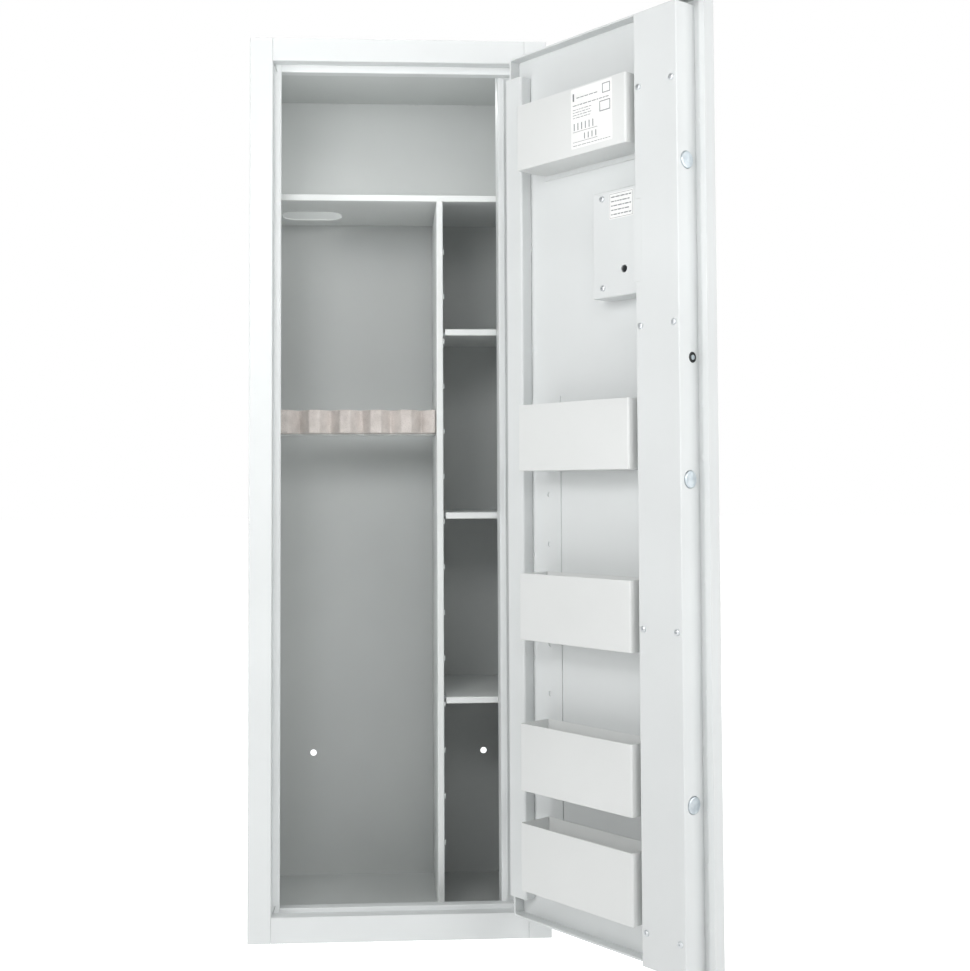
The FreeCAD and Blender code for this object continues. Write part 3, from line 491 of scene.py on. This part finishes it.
def stud(name, centre, radius, length, sides=32):
    """A cylinder primitive along y, whose first cap faces -y."""
    select_only()
    bpy.ops.mesh.primitive_cylinder_add(vertices=sides, radius=radius, depth=length,
                                        location=centre, rotation=(math.pi / 2, 0, 0))
    return settle(name)


def middle(item):
    """Middle of a face, an edge or a vertex."""
    points = [vertex.co for vertex in getattr(item, "verts", (item,))]
    return sum(points, Vector()) / len(points)


def pick(piece, kind, wanted):
    """In edit mode, select only the faces, edges or vertices that are wanted."""
    bpy.ops.mesh.select_mode(type=kind)
    bpy.ops.mesh.select_all(action="DESELECT")
    mesh = bmesh.from_edit_mesh(piece.data)
    for item in {"FACE": mesh.faces, "EDGE": mesh.edges, "VERT": mesh.verts}[kind]:
        if wanted(item):
            item.select_set(True)
    bmesh.update_edit_mesh(piece.data)


def edit(piece, steps):
    """Run modelling steps on one piece in edit mode."""
    select_only(piece)
    bpy.ops.object.mode_set(mode="EDIT")
    steps(piece)
    bpy.ops.object.mode_set(mode="OBJECT")


def modify(piece, kind, **settings):
    """Add one modifier with its settings and apply it."""
    select_only(piece)
    step = piece.modifiers.new(kind.lower(), kind)
    for name, value in settings.items():
        setattr(step, name, value)
    bpy.ops.object.modifier_apply(modifier=step.name)


def joined(name, pieces):
    """Join pieces into one mesh."""
    select_only(*pieces)
    if len(pieces) > 1:
        bpy.ops.object.join()
    bpy.context.object.name = name
    return bpy.context.object


def copied(piece, name, shift):
    """A copy with its own mesh, moved inside its mesh."""
    twin = piece.copy()
    twin.data = piece.data.copy()
    twin.name = name
    bpy.context.scene.collection.objects.link(twin)
    twin.data.transform(Matrix.Translation(shift))
    return twin


def smooth(piece, degrees=35):
    """Smooth shading on curved stretches, with real folds left sharp."""
    select_only(piece)
    bpy.ops.object.shade_smooth_by_angle(angle=math.radians(degrees))


def fit(piece, finish, body, *replaced):
    """Give a piece its finish and its body, and hide the nodes it stands for."""
    dress(piece, finish)
    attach(piece, body)
    if replaced:
        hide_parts(*replaced)


# %% [markdown]
# ## The five door bins
# Each bin is one strip of 1.5 mm sheet bent round two front corners, with a bottom folded in
# and spot welded.  A solid block with a hollow would show walls of the right thickness but dead
# sharp rims.  Starting from a cube, the two front corners are bevelled to the bend's radius, the
# top is deleted, and Solidify then gives the shell its sheet thickness inwards, so that the rims
# and the inside of the bends follow.  A last small bevel breaks every sharp edge, which is what
# catches the light along a real rim.

# %% Folded bins
BIN_SHEET = 1.5 * MM
BIN_CORNER = 3.5 * MM
BIN_FOLD = 1.6 * MM
RIM_BREAK = 0.35 * MM
HAIR = 0.01 * MM


def fold_bin(low, high):
    """Modelling steps of a bin whose front faces -y."""
    def steps(piece):
        pick(piece, "EDGE", lambda edge: abs(middle(edge).y - low.y) < HAIR
             and abs(middle(edge).z - (low.z + high.z) / 2) < HAIR)
        bpy.ops.mesh.bevel(offset=BIN_CORNER, segments=5)
        pick(piece, "FACE", lambda face: face.normal.z > 0.9)
        bpy.ops.mesh.delete(type="FACE")
        pick(piece, "EDGE", lambda edge: abs(middle(edge).z - low.z) < HAIR
             and middle(edge).y < high.y - HAIR)
        bpy.ops.mesh.bevel(offset=BIN_FOLD, segments=3)
    return steps


bins = [f"door_bin_{number}" for number in range(1, 6)]
for name in bins:
    low, high = door_box(name)
    piece = block(name + "_folded", low, high)
    edit(piece, fold_bin(low, high))
    modify(piece, "SOLIDIFY", thickness=BIN_SHEET, offset=-1, use_even_offset=True)
    modify(piece, "BEVEL", width=RIM_BREAK, segments=2, limit_method="ANGLE",
           angle_limit=math.radians(50))
    smooth(piece)
    piece.data.transform(DOOR)
    fit(piece, "bin_coat", "door", name)
print(len(bins), "bins of", len(piece.data.polygons), "faces each")

# %% [markdown]
# ## Where the fasteners are
# Screws and rivets come as groups: one node holds many separate solids.  A node's mesh is loose
# triangles, so its solids are found by joining triangles that share a corner.  The box of each
# solid in door measures gives the place and the seat of one head.

# %% Find the solids of a group
def solids_of(node):
    """Boxes, in door measures, of the separate solids of a node."""
    points = [tuple(round(x, 5) for x in TO_DOOR @ v.co) for v in nodes[node].data.vertices]
    leader = {point: point for point in points}

    def first(point):
        while leader[point] != point:
            leader[point] = leader[leader[point]]
            point = leader[point]
        return point

    for face in nodes[node].data.polygons:
        start = first(points[face.vertices[0]])
        for corner in face.vertices[1:]:
            leader[first(points[corner])] = start
    solids = {}
    for point in leader:
        solids.setdefault(first(point), []).append(Vector(point))
    return [corners(solid) for solid in solids.values()]


screw_boxes = solids_of("cover_screws")
rivet_boxes = solids_of("bin_rivets")
print(len(screw_boxes), "screws and", len(rivet_boxes), "rivets")

# %% [markdown]
# ## Pan-head screws
# The channel and the lock's cover are held by M4 pan-head screws with a cross recess.  Their
# heads are small, but a flat disc would read as a rivet: what the eye knows is the domed edge
# and the dark cross.  One head is modelled from a cylinder, its front rim bevelled into a dome
# in two steps, and the recess cut with two crossed wedges.  The others are copies.

# %% One screw head, then ten
HEAD_RADIUS = 4.6 * MM
HEAD_HEIGHT = 2.6 * MM
RECESS_REACH = 2.5 * MM
RECESS_HALF = 0.55 * MM
RECESS_DEPTH = 1.5 * MM


def dome(piece):
    """Round the front rim of a stud in two steps, wide and low, then short and steep."""
    front = min(vertex.co.y for vertex in piece.data.vertices)
    pick(piece, "FACE", lambda face: face.normal.y < -0.9)
    bpy.ops.mesh.bevel(offset=HEAD_HEIGHT * 0.62, segments=5, profile=0.55)
    pick(piece, "VERT", lambda vertex: vertex.co.y < front + HAIR)
    bpy.ops.transform.translate(value=(0, -0.12 * MM, 0))


def taper(piece):
    """Narrow the inner end of a wedge, as the punch that makes the recess is."""
    pick(piece, "FACE", lambda face: face.normal.y > 0.9)
    bpy.ops.transform.resize(value=(0.45, 1, 0.45))


head = stud("screw_head", (0, -HEAD_HEIGHT / 2, 0), HEAD_RADIUS, HEAD_HEIGHT)
edit(head, dome)
for turned in (False, True):
    reach_x, reach_z = (RECESS_HALF, RECESS_REACH) if turned else (RECESS_REACH, RECESS_HALF)
    punch = block("punch", (-reach_x, -HEAD_HEIGHT - MM, -reach_z),
                  (reach_x, -HEAD_HEIGHT + RECESS_DEPTH, reach_z))
    edit(punch, taper)
    modify(head, "BOOLEAN", object=punch, operation="DIFFERENCE", solver="EXACT")
    bpy.data.objects.remove(punch)
smooth(head, 40)

twist = random.Random(7)
heads = []
for number, (low, high) in enumerate(screw_boxes):
    screw = copied(head, f"screw_{number + 1}", (0, 0, 0))
    centre = (low + high) / 2
    screw.data.transform(Matrix.Rotation(twist.uniform(0, math.pi / 2), 4, "Y"))
    screw.data.transform(Matrix.Translation((centre.x, low.y + HEAD_HEIGHT, centre.z)))
    heads.append(screw)
bpy.data.objects.remove(head)
screws = joined("cover_screws_pan_head", heads)
screws.data.transform(DOOR)
fit(screws, "zinc_plate", "door", "cover_screws")
print(len(screw_boxes), "screws,", len(screws.data.polygons), "faces")

# %% [markdown]
# ## Blind rivets
# The bins are held by blind rivets.  Pulling one leaves a low dome with a small crater where
# the mandrel broke off.  The head is a stud whose rim is bevelled round, and the crater is an
# inset face pushed in.

# %% Ten rivets
RIVET_RADIUS = 4.2 * MM
RIVET_HEIGHT = 1.9 * MM
CRATER = 1.3 * MM


def rivet_dome(piece):
    """Round the rim, then sink the crater."""
    pick(piece, "FACE", lambda face: face.normal.y < -0.9)
    bpy.ops.mesh.bevel(offset=RIVET_HEIGHT * 0.8, segments=5)
    pick(piece, "FACE", lambda face: face.normal.y < -0.99)
    bpy.ops.mesh.inset(thickness=RIVET_RADIUS - RIVET_HEIGHT * 0.8 - CRATER)
    bpy.ops.mesh.inset(thickness=0.2 * MM, depth=-0.7 * MM)


head = stud("rivet_head", (0, -RIVET_HEIGHT / 2, 0), RIVET_RADIUS, RIVET_HEIGHT, 24)
edit(head, rivet_dome)
smooth(head, 40)
heads = []
for number, (low, high) in enumerate(rivet_boxes):
    centre = (low + high) / 2
    seat = low.y + 2 * MM
    heads.append(copied(head, f"rivet_{number + 1}", (centre.x, seat, centre.z)))
bpy.data.objects.remove(head)
rivets = joined("bin_rivets_domed", heads)
rivets.data.transform(DOOR)
fit(rivets, "rivet_aluminium", "door", "bin_rivets")
print(len(rivet_boxes), "rivets,", len(rivets.data.polygons), "faces")

# %% [markdown]
# ## The foam barrel rest
# The rest is a strip of closed-cell foam with a V-shaped notch, rounded at the bottom, for each
# barrel.  A bandsaw leaves slightly wavy faces and soft edges.  The node gives the strip's box
# and where its notches are.  Here the strip starts as a cube, a three-sided prism with a
# bevelled apex cuts the notches, and a voxel remesh of 2 mm turns it into even cells.  Smoothing
# then softens the edges, and a slow displacement gives the waviness of the cut.

# %% Foam strip with its notches
VOXEL = 2.0 * MM
NOTCH_HALF = 19.0 * MM
NOTCH_DEPTH = 30.0 * MM
NOTCH_ROUND = 5.0 * MM
SAW_WAVE = 26 * MM
SAW_DEPTH = 0.7 * MM


def notch_middles(node, low, high):
    """Middle x of every notch: the deepest stretches of the front, read from the node."""
    deep = sorted(v.co.x for v in nodes[node].data.vertices
                  if low.y + NOTCH_DEPTH * 0.78 < v.co.y < high.y - 5 * MM)
    groups = [[deep[0]]]
    for x in deep[1:]:
        if x - groups[-1][-1] > 15 * MM:
            groups.append([])
        groups[-1].append(x)
    return [(group[0] + group[-1]) / 2 for group in groups]


def round_apex(apex):
    """Bevel the innermost edge of a prism."""
    def steps(piece):
        pick(piece, "EDGE", lambda edge: abs(middle(edge).y - apex) < HAIR
             and abs(middle(edge).z) < HAIR)
        bpy.ops.mesh.bevel(offset=NOTCH_ROUND, segments=8)
    return steps


low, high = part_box("barrel_rest")
inset = 0.4 * MM
foam = block("barrel_rest_foam", low + Vector((inset,) * 3), high - Vector((inset,) * 3))
select_only()
bpy.ops.mesh.primitive_cylinder_add(vertices=3, radius=1, depth=1)
prism = settle("notch_cutter")
tall = (high.z - low.z) * 1.4
wide = max(v.co.x for v in prism.data.vertices)
deep = [min(v.co.y for v in prism.data.vertices), max(v.co.y for v in prism.data.vertices)]
to_size = Matrix.Diagonal((NOTCH_HALF / wide, NOTCH_DEPTH / (deep[1] - deep[0]), tall, 1))
prism.data.transform(to_size)
shift = NOTCH_DEPTH - max(v.co.y for v in prism.data.vertices)
prism.data.transform(Matrix.Translation((0, shift, 0)))
edit(prism, round_apex(NOTCH_DEPTH))
notches = notch_middles("barrel_rest", low, high)
for x in notches:
    cutter = copied(prism, "cutter", (x, low.y - MM, (low.z + high.z) / 2))
    modify(foam, "BOOLEAN", object=cutter, operation="DIFFERENCE", solver="EXACT")
    bpy.data.objects.remove(cutter)
bpy.data.objects.remove(prism)
modify(foam, "REMESH", mode="VOXEL", voxel_size=VOXEL)
modify(foam, "SMOOTH", factor=0.5, iterations=4)
waves = bpy.data.textures.new("saw_waves", "CLOUDS")
waves.noise_scale = SAW_WAVE
modify(foam, "DISPLACE", texture=waves, strength=SAW_DEPTH, mid_level=0.5)
smooth(foam, 60)
fit(foam, "rest_foam", "cabinet", "barrel_rest")
print(len(notches), "notches;", len(foam.data.polygons), "faces of foam")

# %% [markdown]
# ## Weld beads
# The stiffener on the free edge is stitch welded to the channel's foot: a short bead every
# 82 mm, never quite the same length or place.  A bead is a flattened drop, so one is a UV
# sphere squeezed to its length, width and height and roughened by moving its points at random
# with a fixed seed.  Beads are powder coated with the rest, so they take the coat's finish.

# %% Bead of weld
def bead(name, place, size, seed):
    """A rough flattened drop of weld metal round a place."""
    select_only()
    bpy.ops.mesh.primitive_uv_sphere_add(segments=14, ring_count=8, radius=0.5, location=place,
                                         scale=size)
    drop = settle(name)

    def roughen(_):
        bpy.ops.mesh.select_all(action="SELECT")
        bpy.ops.transform.vertex_random(offset=min(size) * 0.09, seed=seed)

    edit(drop, roughen)
    modify(drop, "SUBSURF", levels=1, render_levels=1)
    return drop


STITCH_PITCH = 82 * MM
STITCH = Vector((5.0, 3.6, 10.5)) * MM
uneven = random.Random(11)
edge_low, edge_high = door_box("free_edge_stiffener")
beads = []
count = int((edge_high.z - edge_low.z) / STITCH_PITCH)
for number in range(count):
    z = edge_low.z + 62 * MM + number * STITCH_PITCH + uneven.uniform(-6, 6) * MM
    size = STITCH * uneven.uniform(0.8, 1.2)
    place = (edge_low.x - 0.4 * MM, edge_low.y + 1.2 * MM, z)
    beads.append(bead(f"stitch_{number}", place, size, number))
TACK = Vector((4.0, 2.6, 9.0)) * MM
bar_low, bar_high = door_box("dog_bar")
plate_y = door_box("bin_rail")[1].y
TACKS = 8
for number in range(TACKS):
    z = bar_low.z + (bar_high.z - bar_low.z) * (number + 0.3) / TACKS
    size = TACK * uneven.uniform(0.75, 1.15)
    place = (bar_high.x + 0.6 * MM, plate_y - 0.6 * MM, z)
    beads.append(bead(f"tack_{number}", place, size, 40 + number))
welds = joined("door_stitch_welds", beads)
smooth(welds, 60)
welds.data.transform(DOOR)
fit(welds, "door_coat", "door")
print(len(beads), "beads on the door")

# %% [markdown]
# The cabinet's own seams are welded too.  Inside, three pairs of short stitches show where the
# ceiling meets the back.

# %% Ceiling stitches
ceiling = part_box("top_panel")[0].z
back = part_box("back_panel")[0].y
STITCH_STARTS = (-127 * MM, 26 * MM, 139 * MM)
STITCH_STEP = 13 * MM
SEAM_STITCH = Vector((13.0, 3.4, 3.0)) * MM
beads = []
for number, start in enumerate(STITCH_STARTS):
    for step in range(3 if number == 0 else 2):
        x = start + step * STITCH_STEP
        size = SEAM_STITCH * uneven.uniform(0.8, 1.1)
        place = (x, back - 0.5 * MM, ceiling - 0.7 * MM)
        beads.append(bead(f"seam_{number}_{step}", place, size, 80 + number * 4 + step))
seam = joined("ceiling_stitch_welds", beads)
smooth(seam, 60)
fit(seam, "body_coat", "cabinet")
print(len(beads), "beads along the ceiling")

# %% [markdown]
# ## Labels
# Two printed labels are stuck inside the door: a tall one on the top bin and a small ruled one
# on the lock's cover.  Both are plain: a paper with rounded corners, frames, rows of dashes and
# ruled lines, and no words.  A label is a very thin sheet, not a drawing on the steel, because
# its edge is what shows that it is stuck on.  The print is thin strips a hair proud of it.

# %% Label sheets and print
PAPER = 0.15 * MM
INK = 0.03 * MM
CORNER_CUT = 2.0 * MM


def round_sheet(piece):
    """Round the four corners of a thin upright sheet."""
    pick(piece, "EDGE",
         lambda edge: abs((edge.verts[0].co - edge.verts[1].co).normalized().y) > 0.9)
    bpy.ops.mesh.bevel(offset=CORNER_CUT, segments=4)


def strip(name, left, right, bottom, top, y):
    """A printed bar."""
    return block(name, (left, y - INK, bottom), (right, y, top))


def frame_lines(name, left, right, bottom, top, y, line):
    """A printed frame: a bar whose middle is inset and taken out, front and back."""
    frame_bar = strip(name, left, right, bottom, top, y)

    def open_middle(piece):
        pick(piece, "FACE", lambda face: abs(face.normal.y) > 0.9)
        bpy.ops.mesh.inset(thickness=line, use_individual=True)
        bpy.ops.mesh.bridge_edge_loops()

    edit(frame_bar, open_middle)
    return frame_bar


def label(name, left, right, bottom, top, y, printing):
    """Stick a label on the door and print it."""
    paper = block(name + "_paper", (left, y - PAPER, bottom), (right, y, top))
    edit(paper, round_sheet)
    paper.data.transform(DOOR)
    fit(paper, "label_paper", "door")
    ink = joined(name + "_print", printing(left, right, bottom, top, y - PAPER))
    ink.data.transform(DOOR)
    fit(ink, "label_ink", "door")


DASH_SHORT = 3
DASH_LONG = 9
DASH_GAP = 1.6 * MM
TICK_PITCH = 8 * MM
TICK_WIDE = 1.7 * MM
dash_lengths = random.Random(5)


def dashes(left, right, z, thick, y):
    """A row of short bars, which stands for a line of print without being any."""
    marks = []
    start = left
    while start < right - DASH_SHORT * MM:
        end = min(start + dash_lengths.uniform(DASH_SHORT, DASH_LONG) * MM, right)
        marks.append(strip("dash", start, end, z, z + thick, y))
        start = end + DASH_GAP
    return marks


def ticks(left, count, z, tall, y):
    """A row of upright marks, for a number written by hand."""
    starts = [left + step * TICK_PITCH for step in range(count)]
    return [strip("tick", start, start + TICK_WIDE, z, z + tall, y) for start in starts]


def bin_print(left, right, bottom, top, y):
    """Two small framed boxes, rows of dashes, and two rows of ticks on ruled lines."""
    wide, tall = right - left, top - bottom
    edge = 4 * MM
    inner_left, inner_right = left + edge, right - edge
    fine, thin = 0.6 * MM, 1.2 * MM
    marks = [strip("mark", inner_left, inner_left + 3 * MM, top - tall * 0.21,
                   top - tall * 0.08, y)]
    marks.append(frame_lines("box", inner_right - 16 * MM, inner_right, top - tall * 0.21,
                             top - tall * 0.05, y, thin))
    marks.append(frame_lines("box", inner_right - 22 * MM, inner_right, top - tall * 0.50,
                             top - tall * 0.33, y, thin))
    marks += dashes(inner_left + 8 * MM, inner_right - 22 * MM, top - tall * 0.17, thin, y)
    marks += dashes(inner_left, inner_right, top - tall * 0.29, thin, y)
    for row in range(4):
        z = top - tall * (0.36 + row * 0.045)
        marks += dashes(inner_left, left + wide * 0.5, z, fine * 1.4, y)
    marks += ticks(inner_left + 2 * MM, 6, top - tall * 0.70, 11 * MM, y)
    marks += ticks(inner_left + 24 * MM, 4, top - tall * 0.87, 9 * MM, y)
    for share in (0.73, 0.90):
        z = top - tall * share
        marks.append(strip("rule", inner_left, inner_left + wide * 0.6, z, z + fine, y))
    marks += dashes(inner_left, inner_right, top - tall * 0.96, fine * 1.4, y)
    return marks


def cover_print(left, right, bottom, top, y):
    """A thin frame with five rows of dashes."""
    edge = 1.5 * MM
    marks = [frame_lines("frame", left + edge, right - edge, bottom + edge, top - edge, y,
                         0.5 * MM)]
    rows = 5
    for row in range(rows):
        z = bottom + (top - bottom) * (row + 1) / (rows + 1) - 0.7 * MM
        marks += dashes(left + 3 * edge, right - 3 * edge, z, 1.5 * MM, y)
    return marks


bin_low, bin_high = door_box("door_bin_1")
wide = bin_high.x - bin_low.x
label("bin_label", bin_low.x + wide * 0.523, bin_low.x + wide * 0.887, bin_low.z + 10 * MM,
      bin_high.z - 2 * MM, bin_low.y, bin_print)
cover_low, cover_high = door_box("lock_cover")
COVER_FACE = -20 * MM
label("cover_label", cover_low.x + 35 * MM, cover_low.x + 85 * MM, cover_high.z - 45 * MM,
      cover_high.z - 5 * MM, COVER_FACE, cover_print)
print("two labels")

# %% [markdown]
# ## The lever
# On the outside of the door a lever turns the spindle.  It is a zinc casting with satin chrome:
# a round hub, an arm that narrows towards a rounded tip and bows a little away from the door.
# A boxy arm with even rounding would look machined.  This one is extruded from the side of a
# cube in five steps, each narrower and further out than the last, and a subdivision surface
# pulls the steps into one flowing shape.

# %% Cast lever
lever_low, lever_high = door_box("handle_lever")
hub_u = (lever_low.x + lever_high.x) / 2
hub_radius = (lever_high.x - lever_low.x) / 2
hub_z = lever_high.z - hub_radius
hub_front = lever_high.y
hub_back = lever_low.y


def crown(piece):
    """Round the outer rim of the hub and dish its face."""
    pick(piece, "FACE", lambda face: face.normal.y > 0.9)
    bpy.ops.mesh.bevel(offset=2.2 * MM, segments=5)
    pick(piece, "FACE", lambda face: face.normal.y > 0.99)
    bpy.ops.mesh.inset(thickness=2.5 * MM)
    bpy.ops.mesh.inset(thickness=3.0 * MM, depth=-0.8 * MM)


hub = stud("lever_hub", (hub_u, (hub_front + hub_back) / 2, hub_z), hub_radius,
           hub_front - hub_back, 48)
edit(hub, crown)
smooth(hub, 40)

ARM_STEPS = 5
ARM_WIDTH = 17.0 * MM
ARM_THICK = 12.5 * MM
TIP_SHARE = 0.68
arm_middle = hub_back + (hub_front - hub_back) * 0.66
arm_length = hub_z - lever_low.z
first = arm_length / ARM_STEPS


def draw_arm(piece):
    """Pull the lower end down step by step, narrowing it and bowing it outwards."""
    for step in range(1, ARM_STEPS):
        pick(piece, "FACE", lambda face: face.normal.z < -0.9)
        bow = 1.2 * MM * math.sin(math.pi * step / ARM_STEPS)
        bpy.ops.mesh.extrude_region_move(
            TRANSFORM_OT_translate={"value": (0, bow if step < 3 else -bow, -first)})
        share = TIP_SHARE ** (1 / ARM_STEPS)
        bpy.ops.transform.resize(value=(share, share, 1))
    pick(piece, "FACE", lambda face: face.normal.z < -0.9)
    bpy.ops.mesh.inset(thickness=1.2 * MM)


arm = block("lever_arm", (hub_u - ARM_WIDTH / 2, arm_middle - ARM_THICK / 2, hub_z - first),
            (hub_u + ARM_WIDTH / 2, arm_middle + ARM_THICK / 2, hub_z))
edit(arm, draw_arm)
modify(arm, "SUBSURF", levels=3, render_levels=3)
smooth(arm, 60)
lever = joined("door_lever", [arm, hub])
lever.data.transform(DOOR)
fit(lever, "handle_chrome", "handle", "handle_lever")
size = [round(x * 1000) for x in lever.dimensions]
print("lever", size, "mm,", len(lever.data.polygons), "faces")

# %% [markdown]
# ## Keypad legends and lamps
# A keypad needs its digits: they are as generic as print gets.  Each legend is real text turned
# into a thin mesh, printed on its key, so it travels with the key when the key is pressed.  Two
# small lamps sit above the keys.

# %% Legends
LEGENDS = {"clear": "*", "enter": "#"}
LETTER = 6.5 * MM
PRINT = 0.12 * MM
LIFT = 0.05 * MM
keys = [name for name in nodes if name.startswith("key_")]
FACE_OUT = Matrix.Rotation(math.pi, 4, "Z") @ Matrix.Rotation(math.pi / 2, 4, "X")
for name in keys:
    sign = name.split("_")[1]
    low, high = door_box(name)
    select_only()
    bpy.ops.object.text_add()
    legend = bpy.context.object
    legend.name = f"legend_{sign}"
    legend.data.body = LEGENDS.get(sign, sign)
    legend.data.size = LETTER
    legend.data.align_x = "CENTER"
    legend.data.align_y = "CENTER"
    legend.data.extrude = PRINT / 2
    legend.data.resolution_u = 4
    bpy.ops.object.convert(target="MESH")
    legend = bpy.context.object
    spot = corners([vertex.co for vertex in legend.data.vertices])
    legend.data.transform(Matrix.Translation(-(spot[0] + spot[1]) / 2))
    legend.data.transform(FACE_OUT)
    centre = (low + high) / 2
    legend.data.transform(Matrix.Translation((centre.x, high.y + LIFT - PRINT / 2, centre.z)))
    legend.data.transform(DOOR)
    fit(legend, "legend_ink", f"button_{sign}")
print(len(keys), "legends")

# %% Lamps
pad_low, pad_high = door_box("keypad_housing")
top_key = max(door_box(name)[1].z for name in keys)
pad_middle = (pad_low.x + pad_high.x) / 2
LAMP_RADIUS = 2.2 * MM
LAMP_SPACING = 16 * MM


def lens_cap(piece):
    """Dome the outer end of a lamp."""
    pick(piece, "FACE", lambda face: face.normal.y > 0.9)
    bpy.ops.mesh.bevel(offset=1.3 * MM, segments=4)


for side, finish in ((-1, "lamp_green"), (1, "lamp_red")):
    lamp = stud(finish, (pad_middle + side * LAMP_SPACING / 2, pad_high.y - 0.5 * MM,
                         (top_key + pad_high.z) / 2), LAMP_RADIUS, 3.0 * MM, 20)
    edit(lamp, lens_cap)
    smooth(lamp, 40)
    lamp.data.transform(DOOR)
    fit(lamp, finish, "door")
print("two lamps")

# %% [markdown]
# ## Sizes and the end
# The box round the frame's parts and the box round all that is shown are put side by side.
# The new pieces may not make the safe any bigger.

# %% Put the sizes side by side
size = {"cad": [list(cad_low), list(cad_high)], "visual": [list(corner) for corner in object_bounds()]}
